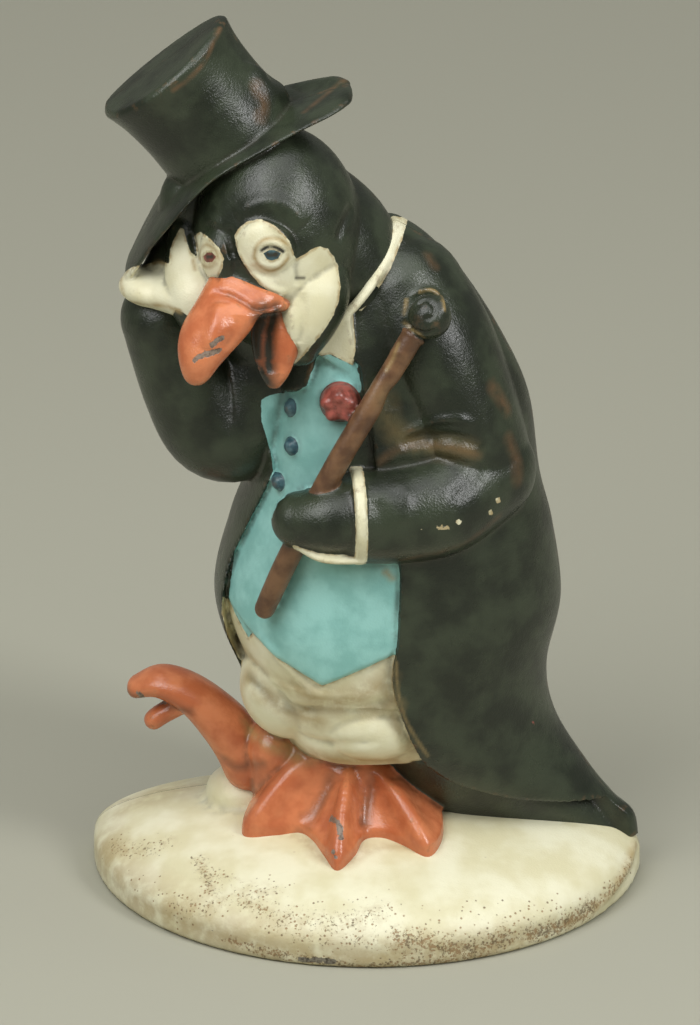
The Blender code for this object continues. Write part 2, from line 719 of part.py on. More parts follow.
def folded_arm():
    """The arm that holds the cane against the waistcoat."""
    upper = (
        Station(9.0, -4.0, 144.0, SHOULDER_RADIUS, SHOULDER_RADIUS),
        Station(17.5, -9.0, 132.0, SHOULDER_RADIUS + 1.0, SHOULDER_RADIUS - 0.5),
        Station(25.0, -12.0, 116.0, SHOULDER_RADIUS, SHOULDER_RADIUS - 2.0),
        Station(29.5, -13.0, 101.0, SLEEVE_RADIUS + 1.0, SLEEVE_RADIUS),
    )
    fore = (
        Station(30.5, -13.5, 99.0, SLEEVE_RADIUS + 0.5, SLEEVE_RADIUS),
        Station(20.5, -25.0, 94.0, SLEEVE_RADIUS - 1.0, SLEEVE_RADIUS - 0.5),
        Station(9.0, -31.0, 93.0, SLEEVE_RADIUS - 2.0, SLEEVE_RADIUS - 1.5),
        Station(1.2, -33.5, 93.2, SLEEVE_RADIUS - 2.3, SLEEVE_RADIUS - 2.0),
    )
    cuff = (
        Station(CUFF_AT[0], CUFF_AT[1], CUFF_AT[2], CUFF_RADIUS, CUFF_RADIUS),
        Station(CUFF_AT[0] - CUFF_THICKNESS, CUFF_AT[1] - 0.5, CUFF_AT[2], CUFF_RADIUS, CUFF_RADIUS),
    )
    hand = (
        Station(0.0, -34.5, 93.5, 10.0, 9.8),
        Station(-7.5, -37.5, 94.0, 9.5, 9.2),
        Station(2.0 - HAND_LENGTH, -36.5, 93.0, 8.0, 7.5),
    )
    under_cuff = (
        Station(-0.5, -33.5, 84.8, 11.0, 2.2),
        Station(-10.0, -35.5, 85.6, 10.0, 2.2),
        Station(-18.5, -36.5, 89.5, 5.5, 1.8),
    )
    return [
        limb("upper_sleeve", upper, "black_enamel", sides=20),
        limb("fore_sleeve", fore, "black_enamel"),
        limb("cuff", cuff, "cream_enamel", steps=1, round_ends=False),
        limb("hand", hand, "black_enamel"),
        limb("under_cuff", under_cuff, "cream_enamel", sides=SMALL_SIDES),
    ]


def cane():
    """The cane held across the chest, with its knob at the shoulder."""
    rod = (
        Station(13.0, -28.5, 142.5, CANE_RADIUS, CANE_RADIUS),
        Station(3.3, -33.5, 125.5, CANE_RADIUS, CANE_RADIUS),
        Station(-6.8, -37.0, 107.4, CANE_RADIUS, CANE_RADIUS),
        Station(-18.7, -37.5, 81.5, CANE_RADIUS, CANE_RADIUS),
        Station(-24.8, -36.0, 66.5, CANE_RADIUS - 0.3, CANE_RADIUS - 0.3),
    )
    knob = ellipsoid("knob", CANE_KNOB_AT, (CANE_KNOB_RADIUS,) * 3, "brown_enamel", sides=16)
    return [limb("cane", rod, "brown_enamel", steps=2, sides=10), knob]


def collar():
    """The shirt collar: a tilted band round the neck."""
    curve = bpy.data.curves.new("collar_line", "CURVE")
    curve.dimensions = "3D"
    curve.bevel_depth = COLLAR_RADIUS * MM
    curve.bevel_resolution = 1
    spline = curve.splines.new("POLY")
    spline.points.add(LEVEL_SIDES - 1)
    for index in range(LEVEL_SIDES):
        angle = 2 * math.pi * index / LEVEL_SIDES
        depth = COLLAR_BACK_REACH if math.sin(angle) > 0 else COLLAR_FRONT_REACH
        place = Vector(COLLAR_CENTRE) + Vector(COLLAR_SIDE_REACH) * math.cos(angle)
        place += Vector(depth) * math.sin(angle)
        spline.points[index].co = (*(at_height(place) * MM), 1.0)
    spline.use_cyclic_u = True
    line = bpy.data.objects.new("collar_line", curve)
    bpy.context.scene.collection.objects.link(line)
    graph = bpy.context.evaluated_depsgraph_get()
    mesh = bpy.data.meshes.new_from_object(line.evaluated_get(graph))
    bpy.data.objects.remove(line, do_unlink=True)
    return link_painted("collar", mesh, "cream_enamel")


def ornaments():
    """Collar and its wing, rose and buttons, each seated on the body under it."""
    wing_front = -front_depth(*WING_SEAT, 0.0) - WING_RELIEF
    forms = [collar(), slab("wing", COLLAR_WING, wing_front, WING_ROOT_Y, "cream_enamel")]
    x, height = ROSE_AT
    rose_at = (x, -front_depth(x, height, COAT_CLOTH) - 1.0, height)
    forms.append(ellipsoid("rose", rose_at, (ROSE_RADIUS, 4.5, ROSE_RADIUS), "red_enamel", sides=14))
    for index, (x, height) in enumerate(BUTTONS_AT):
        place = (x, -front_depth(x, height, COAT_CLOTH), height)
        forms.append(ellipsoid("button_%d" % index, place, (BUTTON_RADIUS,) * 3, "navy_enamel", sides=10))
    return forms


def web():
    """The standing foot, which fans out from the ankle in three toes with a web between them."""
    closed = WEB[-1:] + WEB + WEB[:2]
    rim = smooth_rows(closed, WEB_STEPS)[WEB_STEPS : WEB_STEPS * (len(WEB) + 1)]
    ankle = Vector(ANKLE_AT)
    wide, deep = ANKLE_HALF_SIZES
    rings = []
    for lift in (WEB_EDGE - WEB_THICKNESS, WEB_LIP):
        rings.append([at_height((x, y, mound_height(x, y) + lift)) for x, y in rim])
    for share in WEB_SHARES:
        sag = math.sin(math.pi * share)
        ring = []
        for index, (x, y) in enumerate(rim):
            turn = math.atan2((y - ankle.y) / deep, (x - ankle.x) / wide)
            side = wide * math.cos(turn)
            inner = ankle + Vector((side, deep * math.sin(turn), ANKLE_SLOPE * side))
            place = inner.lerp(Vector((x, y, mound_height(x, y) + WEB_EDGE)), share)
            steps_off = min(abs(index - WEB_STEPS * tip) for tip in TOE_TIPS)
            spread = WEB_STEPS * (TOE_RIDGE_WIDTH + TOE_RIDGE_FLARE * share)
            ridge = math.exp(-((steps_off / spread) ** 2))
            place.z += TOE_RIDGE * ridge * min(1.0, 3.0 * share) * (0.3 + 0.7 * sag)
            place.z -= WEB_SAG * sag * (1.0 - ridge)
            ring.append(at_height(place))
        rings.append(ring)
    return skin("web", rings, "orange_enamel")


def feet():
    """The lifted foot on the parting plane and the webbed foot that stands on the mound."""
    lifted = (
        Station(-31.5, -10.0, 8.0, 7.5, ANKLE_RADIUS + 0.5),
        Station(-34.0, -10.0, 13.5, 8.0, ANKLE_RADIUS + 0.3),
        Station(-38.0, -9.5, 19.5, 8.5, ANKLE_RADIUS),
        Station(-46.5, -9.0, 27.5, 8.0, ANKLE_RADIUS - 1.5),
        Station(-55.0, -8.5, 31.0, 7.0, ANKLE_RADIUS - 2.5),
        Station(-61.5, -8.0, 29.0, 5.0, TOE_RADIUS - 0.6),
    )
    under_toe = (
        Station(-48.0, -8.0, 25.5, TOE_RADIUS, TOE_RADIUS - 0.5),
        Station(-54.5, -9.0, 21.8, TOE_RADIUS, TOE_RADIUS - 0.6),
        Station(-57.0, -9.5, 20.0, TOE_RADIUS, TOE_RADIUS - 0.7),
    )
    heel = (
        Station(-24.5, -13.5, 15.5, 8.5, ANKLE_RADIUS + 1.0),
        Station(-24.0, -12.0, 2.0, 8.0, ANKLE_RADIUS),
    )
    return [
        limb("lifted_foot", lifted, "orange_enamel"),
        limb("under_toe", under_toe, "orange_enamel", sides=SMALL_SIDES, steps=2),
        limb("heel", heel, "orange_enamel", sides=SMALL_SIDES, steps=1),
        web(),
    ]


def figure():
    """Every form of the penguin and its mound, joined into one solid."""
    body = mound("figure", 0.0, 0.0, "cream_enamel")
    forms = [ellipsoid("hillock", HILLOCK_AT, HILLOCK_HALF_SIZES, "cream_enamel", sides=16)]
    forms += dress() + head() + hat() + raised_arm() + folded_arm() + cane() + ornaments() + feet()
    return combine(body, forms, "UNION", "MANIFOLD")


def hollow():
    """The space inside the castings, with the screw bosses and pin pads left standing in it."""
    inset = BODY_INSET + WALL
    core = mound("hollow", RIM_WALL, -5.0, "bare_iron")
    upper = [cut for cut in COAT if TROUSER_HEM < cut.height < TRUNK_TOP]
    spaces = [
        level_loft("trunk_space", upper, inset, "bare_iron", steps=1),
        level_loft("hip_space", HIP_SPACE, 0.0, "bare_iron", steps=1),
        ellipsoid(
            "head_space",
            HEAD_CENTRE,
            (HEAD_HALF_WIDTH - WALL, HEAD_HALF_DEPTH - WALL, HEAD_HALF_HEIGHT - WALL),
            "bare_iron",
            sides=16,
        ),
        limb(
            "neck_space",
            (Station(-20.0, -7.0, 162.0, 10.0, 10.0), Station(-6.0, -2.0, 139.0, 10.0, 10.0)),
            "bare_iron",
            steps=1,
            sides=SMALL_SIDES,
        ),
        limb(
            "crown_space",
            (Station(-30.0, -6.0, 173.0, 10.0, 10.0), Station(-50.0, -5.0, 197.0, 11.0, 12.0)),
            "bare_iron",
            steps=1,
            round_ends=False,
        ),
    ]
    combine(core, spaces, "UNION", "MANIFOLD")
    boss_radius = SCREW_HEAD_RADIUS + HEAD_CLEARANCE + BOSS_WALL
    posts = []
    for index, (x, z) in enumerate((UPPER_SCREW_AT, LOWER_SCREW_AT)):
        posts.append(pillar("boss_%d" % index, x, z, boss_radius, -90.0, 90.0))
    for index, (x, z) in enumerate(PIN_PLACES):
        posts.append(pillar("pad_%d" % index, x, z, PIN_PAD_RADIUS, -90.0, 90.0, sides=16))
    return combine(core, posts, "DIFFERENCE", "MANIFOLD")


def half(name, whole, space, front):
    """One casting: the figure on its own side of the parting plane, hollowed and drilled."""
    casting = whole.copy()
    casting.data = whole.data.copy()
    casting.name = name
    bpy.context.scene.collection.objects.link(casting)
    hollow_copy = space.copy()
    bpy.context.scene.collection.objects.link(hollow_copy)
    combine(casting, [hollow_copy], "DIFFERENCE", "MANIFOLD")
    side = -1.0 if front else 1.0
    start = side * PARTING_GAP / 2
    corners = ((-1.0, -1.0), (1.0, -1.0), (1.0, 1.0), (-1.0, 1.0))
    outline = [(x * TOOL_REACH, z * TOOL_REACH) for x, z in corners]
    keep = slab(name + "_side", outline, start, side * TOOL_REACH)
    combine(casting, [keep], "INTERSECT", "MANIFOLD")
    cuts = []
    bore = SCREW_RADIUS + SCREW_CLEARANCE
    for index, (x, z) in enumerate((UPPER_SCREW_AT, LOWER_SCREW_AT)):
        if front:
            end = SCREW_SEAT_Y - SCREW_LENGTH - THREAD_RUNOUT
            cuts.append(pillar("thread_%d" % index, x, z, bore, 5.0, end, sides=16))
        else:
            cuts.append(pillar("bore_%d" % index, x, z, bore, -5.0, 90.0, sides=16))
            recess = SCREW_HEAD_RADIUS + HEAD_CLEARANCE
            cuts.append(pillar("recess_%d" % index, x, z, recess, SCREW_SEAT_Y, 90.0, sides=20))
    if front:
        combine(casting, cuts, "DIFFERENCE", "MANIFOLD")
        pins = []
        for index, (x, z) in enumerate(PIN_PLACES):
            pins.append(pillar("pin_%d" % index, x, z, PIN_RADIUS, -3.0, PIN_LENGTH, sides=12))
        combine(casting, pins, "UNION", "MANIFOLD")
    else:
        for index, (x, z) in enumerate(PIN_PLACES):
            depth = PIN_LENGTH + PIN_CLEARANCE
            cuts.append(pillar("socket_%d" % index, x, z, PIN_RADIUS + PIN_CLEARANCE, -5.0, depth, sides=12))
        combine(casting, cuts, "DIFFERENCE", "MANIFOLD")
    return casting


def screw(name, x, z):
    """A slotted round head machine screw along the depth, seated in the rear half's recess."""
    bm = bmesh.new()
    head_arc = []
    for step in range(6):
        turn = math.radians(90.0 * step / 5)
        head_arc.append((SCREW_HEAD_RADIUS * math.sin(turn), SCREW_HEAD_HEIGHT * math.cos(turn)))
    profile = head_arc + [
        (SCREW_RADIUS, 0.0),
        (SCREW_RADIUS, -SCREW_LENGTH + 1.0),
        (SCREW_RADIUS - 0.8, -SCREW_LENGTH),
        (0.0, -SCREW_LENGTH),
    ]
    verts = [bm.verts.new((radius, along, 0.0)) for radius, along in profile]
    edges = [bm.edges.new(pair) for pair in zip(verts, verts[1:])]
    bmesh.ops.spin(
        bm,
        geom=verts + edges,
        cent=(0.0, 0.0, 0.0),
        axis=(0.0, 1.0, 0.0),
        angle=2 * math.pi,
        steps=20,
        use_merge=True,
    )
    bmesh.ops.remove_doubles(bm, verts=bm.verts, dist=0.001)
    obj = add_object(name, bm, "screw_steel")
    half_width = SCREW_SLOT_WIDTH / 2
    reach = SCREW_HEAD_RADIUS * 2
    bm = bmesh.new()
    bmesh.ops.create_cube(bm, size=1.0)
    bmesh.ops.scale(bm, vec=(reach * 2, SCREW_SLOT_DEPTH * 2, half_width * 2), verts=bm.verts)
    bmesh.ops.translate(bm, vec=(0.0, SCREW_HEAD_HEIGHT, 0.0), verts=bm.verts)
    slot = add_object(name + "_slot", bm, "screw_steel")
    combine(obj, [slot], "DIFFERENCE")
    obj.location = Vector((x, PARTING_Y + SCREW_SEAT_Y + SEAT_GAP, z + CREST)) * MM
    return obj


def main():
    clear_scene()
    whole = figure()
    space = hollow()
    front = half("front_casting", whole, space, True)
    rear = half("rear_casting", whole, space, False)
    for casting in (front, rear):
        casting.location.y = PARTING_Y * MM
    for helper in (whole, space):
        bpy.data.objects.remove(helper, do_unlink=True)
    screws = [
        screw("upper_screw", *UPPER_SCREW_AT),
        screw("lower_screw", *LOWER_SCREW_AT),
    ]
    for obj in [front, rear] + screws:
        obj.data.shade_smooth()
        obj.data.set_sharp_from_angle(angle=math.radians(38.0))


main()
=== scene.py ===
"""Looks of the painted cast iron doorstop: a comic penguin in evening dress on an oval mound.

The forms are modelled in millimetres, from the middle of the base on the parting plane of the two
castings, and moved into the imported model's frame at the end. Heights of the figure are counted from
the crest of the mound. Carved and painted marks are laid out along one line of sight, in its pixels,
and land on the surface that this line meets first.
"""

import logging
import math
from dataclasses import dataclass, field
from enum import Enum
from typing import Any, Callable, Iterable, NamedTuple, Sequence

import bmesh
import bpy
import numpy as np
from mathutils import Matrix, Vector
from mathutils.bvhtree import BVHTree


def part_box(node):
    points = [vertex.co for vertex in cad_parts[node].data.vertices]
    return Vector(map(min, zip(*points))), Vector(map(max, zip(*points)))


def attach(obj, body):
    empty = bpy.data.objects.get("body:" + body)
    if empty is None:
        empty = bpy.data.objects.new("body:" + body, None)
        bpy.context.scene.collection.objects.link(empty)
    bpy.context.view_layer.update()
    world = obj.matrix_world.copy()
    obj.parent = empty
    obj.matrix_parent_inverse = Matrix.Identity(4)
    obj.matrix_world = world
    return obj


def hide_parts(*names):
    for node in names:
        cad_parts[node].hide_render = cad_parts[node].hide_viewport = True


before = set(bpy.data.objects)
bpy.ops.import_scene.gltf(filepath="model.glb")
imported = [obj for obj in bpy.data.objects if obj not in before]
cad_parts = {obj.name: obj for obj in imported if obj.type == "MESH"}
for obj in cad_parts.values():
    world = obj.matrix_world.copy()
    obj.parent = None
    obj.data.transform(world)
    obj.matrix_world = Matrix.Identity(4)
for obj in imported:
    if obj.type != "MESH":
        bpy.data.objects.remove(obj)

# One millimetre in metres.
MM = 0.001
# The mound's crest above the floor, and how far the figure stands to the right of the middle.
CREST = 23.0
FIGURE_X = 0.8
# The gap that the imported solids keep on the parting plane, and the seam seen on the real one, which
# the paint nearly fills.
PARTING_GAP = 0.3
SEAM = 0.14
# The castings' wall, and a depth or breadth that is past every form, for what cuts right through.
WALL = 4.5
THROUGH = 90.0
# Up from which height the coat stands over trousers, and where the trunk's hollow ends.
TROUSER_HEM = 30.0
TRUNK_TOP = 145.0
DEPTH_AXIS = Vector((0.0, 1.0, 0.0))
# The way that the beak's flattened cuts face: forwards and a little up.
BILL_FACING = Vector((0.079, -0.903, 0.423))
log = logging.getLogger("doorstop")


class Paint(Enum):
    """The finishes on the castings, each with the record's slot that it belongs to."""

    BLACK = "black_enamel"
    CREAM = "cream_enamel"
    ORANGE = "orange_enamel"
    BLUE = "blue_enamel"
    RED = "red_enamel"
    BROWN = "brown_enamel"
    NAVY = "navy_enamel"
    IRON = "bare_iron"


class Wear(Enum):
    """The kinds of wear that a mark leaves on the paint; two of them also carry painted shade into creases and under
    overhangs.
    """

    CHIP = "chip"
    RUST = "rust"
    SOIL = "soil"
    GRIME = "grime"
    RUB = "rub"


FormMaker = Callable[[], list[bpy.types.Object]]
Socket = bpy.types.NodeSocket
PAINTS: tuple[Paint, ...] = tuple(Paint)
COLOURS: tuple[Paint, ...] = PAINTS[1:-1]


class Section(NamedTuple):
    """A level cut through the figure: its edges on the parting plane and its two crowns."""

    height: float
    left: float
    crown: float
    right: float
    front: float
    rear: float


class Station(NamedTuple):
    """A place on a limb's centre line, with its half sizes along the depth and square to it."""

    x: float
    y: float
    z: float
    wide: float
    thick: float


class BillCut(NamedTuple):
    """A cut across the beak: its two edges, its depth, and how far it bulges in front and behind."""

    left_x: float
    left_z: float
    right_x: float
    right_z: float
    y: float
    front: float
    behind: float


def direction(turn: float, rise: float) -> Vector:
    """The way from the object to something round from the front towards +X and above level.

    Args:
        turn: How far round, in radians.
        rise: How far above level, in radians.

    Returns:
        A direction of length 1.
    """
    level = math.cos(rise)
    return Vector((math.sin(turn) * level, -math.cos(turn) * level, math.sin(rise)))


@dataclass(frozen=True)
class Sight:
    """The line of sight on which marks are laid out, with its pixels to the millimetre."""

    azimuth: float = math.radians(5.0)
    elevation: float = math.radians(25.0)
    scale: float = 3.77
    middle: float = 367.5
    ground: float = 860.0

    @property
    def right(self) -> Vector:
        """The direction across the view."""
        return Vector((math.cos(self.azimuth), math.sin(self.azimuth), 0.0))

    @property
    def back(self) -> Vector:
        """The direction from the object to the eye."""
        return direction(self.azimuth, self.elevation)

    @property
    def up(self) -> Vector:
        """The direction up the view."""
        return self.back.cross(self.right)

    def ray(self, u: float, v: float) -> tuple[Vector, Vector]:
        """A sight line.

        Args:
            u: Pixels across.
            v: Pixels down.

        Returns:
            Its start in front of the object, and its direction.
        """
        across = (u - self.middle) / self.scale
        upward = (self.ground - v) / self.scale
        return self.right * across + self.up * upward + self.back * 500.0, -self.back

    def flat(self, points: np.ndarray) -> np.ndarray:
        """The pixels at which points are seen.

        Args:
            points: Places in millimetres, one a row.

        Returns:
            Their pixels across and down, one pair a row.
        """
        across = points @ np.array(self.right) * self.scale + self.middle
        down = self.ground - points @ np.array(self.up) * self.scale
        return np.stack([across, down], axis=1)


SIGHT = Sight()


@dataclass(frozen=True)
class Stroke:
    """A ridge or groove worked into the surface along a line of sight pixels.

    A positive height stands proud, and a negative one is cut in.
    """

    points: tuple[tuple[float, float], ...]
    width: float
    height: float


@dataclass(frozen=True)
class Area:
    """A painted area, outlined in sight pixels, which leaves some other paints as they are."""

    paint: Paint
    outline: tuple[tuple[float, float], ...]
    spares: tuple[Paint, ...] = ()


@dataclass(frozen=True)
class Mark:
    """A smear of wear or painted shade along sight pixels, with its half width in millimetres and its strength."""

    wear: Wear
    points: tuple[tuple[float, float], ...]
    radius: float
    strength: float = 1.0


def at_height(place: Iterable[float]) -> Vector:
    """Moves a point of the figure to where the figure stands on the base."""
    x, y, z = place
    return Vector((x + FIGURE_X, y, z + CREST))


def smooth_rows(rows: Sequence[Sequence[float]], steps: int) -> list[list[float]]:
    """Runs rows of numbers through a Catmull-Rom curve.

    Args:
        rows: The rows that the curve passes through.
        steps: Steps from one row to the next.

    Returns:
        The rows of the smooth curve.
    """
    result = []
    last = len(rows) - 1
    for index in range(last):
        before = rows[max(index - 1, 0)]
        start = rows[index]
        end = rows[index + 1]
        after = rows[min(index + 2, last)]
        for step in range(steps):
            t = step / steps
            row = []
            for p, q, r, s in zip(before, start, end, after):
                row.append(
                    q
                    + 0.5 * t * (r - p)
                    + t * t * (p - 2.5 * q + 2.0 * r - 0.5 * s)
                    + t * t * t * (1.5 * q - 1.5 * r + 0.5 * s - 0.5 * p)
                )
            result.append(row)
    result.append(list(rows[last]))
    return result


def work_materials() -> list[bpy.types.Material]:
    """The plain materials that tell the forms' paints apart while they are joined."""
    found = []
    for paint in PAINTS:
        name = "work_" + paint.value
        found.append(bpy.data.materials.get(name) or bpy.data.materials.new(name))
    return found


def add_form(name: str, bm: bmesh.types.BMesh, paint: Paint) -> bpy.types.Object:
    """Makes a closed form from a mesh under construction.

    Args:
        name: The form's name.
        bm: Its mesh in millimetres, which is used up.
        paint: Its paint.

    Returns:
        The form's object.
    """
    bmesh.ops.recalc_face_normals(bm, faces=bm.faces)
    mesh = bpy.data.meshes.new(name)
    bm.to_mesh(mesh)
    bm.free()
    for material in work_materials():
        mesh.materials.append(material)
    mesh.polygons.foreach_set("material_index", [PAINTS.index(paint)] * len(mesh.polygons))
    form = bpy.data.objects.new(name, mesh)
    bpy.context.scene.collection.objects.link(form)
    return form


def skin(
    name: str, rings: Sequence[Sequence[Vector]], paint: Paint, endless: bool = False
) -> bpy.types.Object:
    """Closes a skin over rings of points, each ring a reshaped circle bridged to the next.

    The edges of each ring keep their order, so that every run bridges them alike.

    Args:
        name: The form's name.
        rings: The rings from one end to the other, with as many points in each.
        paint: The form's paint.
        endless: Whether the last ring meets the first, instead of a cap on both.

    Returns:
        The form's object.
    """
    bm = bmesh.new()
    loops = []
    for points in rings:
        made = bmesh.ops.create_circle(bm, segments=len(points), radius=1.0)
        for vert, point in zip(made["verts"], points):
            vert.co = point
        loops.append(list(dict.fromkeys(edge for vert in made["verts"] for edge in vert.link_edges)))
    for lower, upper in zip(loops, loops[1:] + loops[: 1 if endless else 0]):
        bmesh.ops.bridge_loops(bm, edges=lower + upper)
    for loop in () if endless else (loops[0], loops[-1]):
        bmesh.ops.edgeloop_fill(bm, edges=loop)
    return add_form(name, bm, paint)


def level_loft(
    name: str, sections: Sequence[Section], inset: float, paint: Paint, steps: int = 8, sides: int = 120
) -> bpy.types.Object:
    """Lofts level sections, each drawn in by the inset.

    Args:
        name: The form's name.
        sections: The level cuts, from the lowest up.
        inset: How far the skin lies inside the sections.
        paint: The form's paint.
        steps: Rings from one section to the next.
        sides: Points in each ring.

    Returns:
        The form's object.
    """
    rings = []
    for row in smooth_rows(sections, steps):
        cut = Section(*row)
        points = []
        for side in range(sides):
            angle = 2 * math.pi * side / sides
            c = math.cos(angle)
            s = math.sin(angle)
            reach = cut.right - cut.crown if c > 0 else cut.crown - cut.left
            bulge = cut.rear if s > 0 else cut.front
            points.append(
                at_height((cut.crown + (reach - inset) * c, (bulge - inset) * s, cut.height))
            )
        rings.append(points)
    return skin(name, rings, paint)


def limb(
    name: str,
    stations: Sequence[Station],
    paint: Paint,
    steps: int = 7,
    sides: int = 44,
    round_ends: bool = True,
) -> bpy.types.Object:
    """Lofts a limb along its centre line, with each cut's wide side as near to the depth as it can be.

    Args:
        name: The form's name.
        stations: The places on the centre line.
        paint: The form's paint.
        steps: Rings from one station to the next.
        sides: Points in each ring.
        round_ends: Whether both ends close in a dome.

    Returns:
        The form's object.
    """
    rows = [Station(*row) for row in smooth_rows(stations, steps)]
    centres = [Vector((row.x, row.y, row.z)) for row in rows]
    cuts = []
    for index, row in enumerate(rows):
        ahead = centres[min(index + 1, len(rows) - 1)]
        behind = centres[max(index - 1, 0)]
        run = (ahead - behind).normalized()
        wide = (DEPTH_AXIS - run * DEPTH_AXIS.dot(run)).normalized()
        cuts.append((centres[index], run, wide * row.wide, run.cross(wide) * row.thick))
    if round_ends:
        dome_steps, dome_turn = 8, 86.0
        domes = []
        for centre, run, wide, thick in (cuts[0], cuts[-1]):
            reach = min(wide.length, thick.length)
            outward = -reach if centre == centres[0] else reach
            dome = []
            for step in range(1, dome_steps + 1):
                turn = math.radians(dome_turn * step / dome_steps)
                place = centre + run * outward * math.sin(turn)
                dome.append((place, run, wide * math.cos(turn), thick * math.cos(turn)))
            domes.append(dome)
        cuts = domes[0][::-1] + cuts + domes[1]
    rings = []
    for centre, _, wide, thick in cuts:
        ring = []
        for side in range(sides):
            angle = 2 * math.pi * side / sides
            ring.append(at_height(centre + wide * math.cos(angle) + thick * math.sin(angle)))
        rings.append(ring)
    return skin(name, rings, paint)


def bill(
    name: str, cuts: Sequence[BillCut], paint: Paint, steps: int = 6, sides: int = 48
) -> bpy.types.Object:
    """Lofts half a beak through flattened cuts that all face the same way.

    Args:
        name: The form's name.
        cuts: The cuts from the root to the tip.
        paint: The form's paint.
        steps: Rings from one cut to the next.
        sides: Points in each ring.

    Returns:
        The form's object.
    """
    rings = []
    for row in smooth_rows(cuts, steps):
        cut = BillCut(*row)
        left = Vector((cut.left_x, cut.y, cut.left_z))
        right = Vector((cut.right_x, cut.y, cut.right_z))
        ring = []
        for side in range(sides):
            angle = 2 * math.pi * side / sides
            s = math.sin(angle)
            across = (right - left) / 2 * math.cos(angle)
            bulge = BILL_FACING * (cut.front if s > 0 else cut.behind) * s
            ring.append(at_height((left + right) / 2 + across + bulge))
        rings.append(ring)
    return skin(name, rings, paint)


def ball(
    name: str,
    centre: Sequence[float],
    half_sizes: Sequence[float],
    paint: Paint,
    turn: float = 0.0,
    sides: int = 64,
) -> bpy.types.Object:
    """Makes a ball with three half sizes, turned about the upright axis.

    Args:
        name: The form's name.
        centre: Its middle, with the height above the crest.
        half_sizes: Its half sizes.
        paint: Its paint.
        turn: Its turn in radians.
        sides: Its faces round the middle.

    Returns:
        The form's object.
    """
    bm = bmesh.new()
    place = Matrix.Translation(at_height(centre)) @ Matrix.Rotation(turn, 4, "Z")
    place = place @ Matrix.Diagonal((*half_sizes, 1.0))
    bmesh.ops.create_uvsphere(bm, u_segments=sides, v_segments=sides // 2, radius=1.0, matrix=place)
    return add_form(name, bm, paint)


def pillar(
    name: str, x: float, z: float, radius: float, start: float, end: float, sides: int = 48
) -> bpy.types.Object:
    """Makes a round bar along the depth.

    Args:
        name: The bar's name.
        x: Its place across.
        z: Its height above the crest.
        radius: Its radius.
        start: The depth at one end.
        end: The depth at the other end.
        sides: Its faces round the middle.

    Returns:
        The bar's object.
    """
    bm = bmesh.new()
    middle = Matrix.Translation((x, (start + end) / 2, z + CREST))
    place = middle @ Matrix.Rotation(math.pi / 2, 4, "X")
    bmesh.ops.create_cone(
        bm,
        cap_ends=True,
        segments=sides,
        radius1=radius,
        radius2=radius,
        depth=abs(end - start),
        matrix=place,
    )
    return add_form(name, bm, Paint.IRON)


def slab(
    name: str, outline: Sequence[Sequence[float]], start: float, end: float, paint: Paint = Paint.IRON
) -> bpy.types.Object:
    """Extrudes a flat outline along the depth.

    Args:
        name: The slab's name.
        outline: Its corners across and in height above the crest.
        start: The depth of one side.
        end: The depth of the other side.
        paint: Its paint.

    Returns:
        The slab's object.
    """
    bm = bmesh.new()
    verts = [bm.verts.new(at_height((x, start, z))) for x, z in outline]
    face = bm.faces.new(verts)
    made = bmesh.ops.extrude_face_region(bm, geom=[face], use_keep_orig=True)
    moved = [part for part in made["geom"] if isinstance(part, bmesh.types.BMVert)]
    bmesh.ops.translate(bm, vec=(0.0, end - start, 0.0), verts=moved)
    return add_form(name, bm, paint)


def baked(form: bpy.types.Object) -> bpy.types.Object:
    """Works an object's modifiers into its mesh."""
    graph = bpy.context.evaluated_depsgraph_get()
    mesh = bpy.data.meshes.new_from_object(form.evaluated_get(graph))
    form.modifiers.clear()
    form.data = mesh
    return form


def combine(
    body: bpy.types.Object, tools: Sequence[bpy.types.Object], operation: str, keep: bool = False
) -> bpy.types.Object:
    """Joins tools to a body, or cuts them from it.

    The manifold solver keeps every layer of the sculpted figure, whose many skins lie close.

    Args:
        body: The object that is changed.
        tools: The objects that change it.
        operation: UNION, DIFFERENCE or INTERSECT.
        keep: Whether the tools stay in the scene.

    Returns:
        The body.
    """
    for tool in tools:
        modifier = body.modifiers.new(tool.name, "BOOLEAN")
        modifier.operation = operation
        modifier.solver = "MANIFOLD"
        modifier.object = tool
    baked(body)
    if not keep:
        for tool in tools:
            bpy.data.objects.remove(tool, do_unlink=True)
    return body


def copy_of(form: bpy.types.Object, name: str) -> bpy.types.Object:
    """Copies an object together with its mesh."""
    made = form.copy()
    made.data = form.data.copy()
    made.name = name
    bpy.context.scene.collection.objects.link(made)
    return made


def vertex_array(mesh: bpy.types.Mesh, name: str = "co") -> np.ndarray:
    """The vertices' places, or with the name normal their normals, one a row."""
    values = np.empty(len(mesh.vertices) * 3, np.float32)
    if name == "co":
        mesh.vertices.foreach_get("co", values)
    else:
        mesh.vertex_normals.foreach_get("vector", values)
    return values.reshape(-1, 3).astype(np.float64)


def edge_array(mesh: bpy.types.Mesh) -> np.ndarray:
    """The two vertices of each edge, one pair a row."""
    values = np.empty(len(mesh.edges) * 2, np.int32)
    mesh.edges.foreach_get("vertices", values)
    return values.reshape(-1, 2)


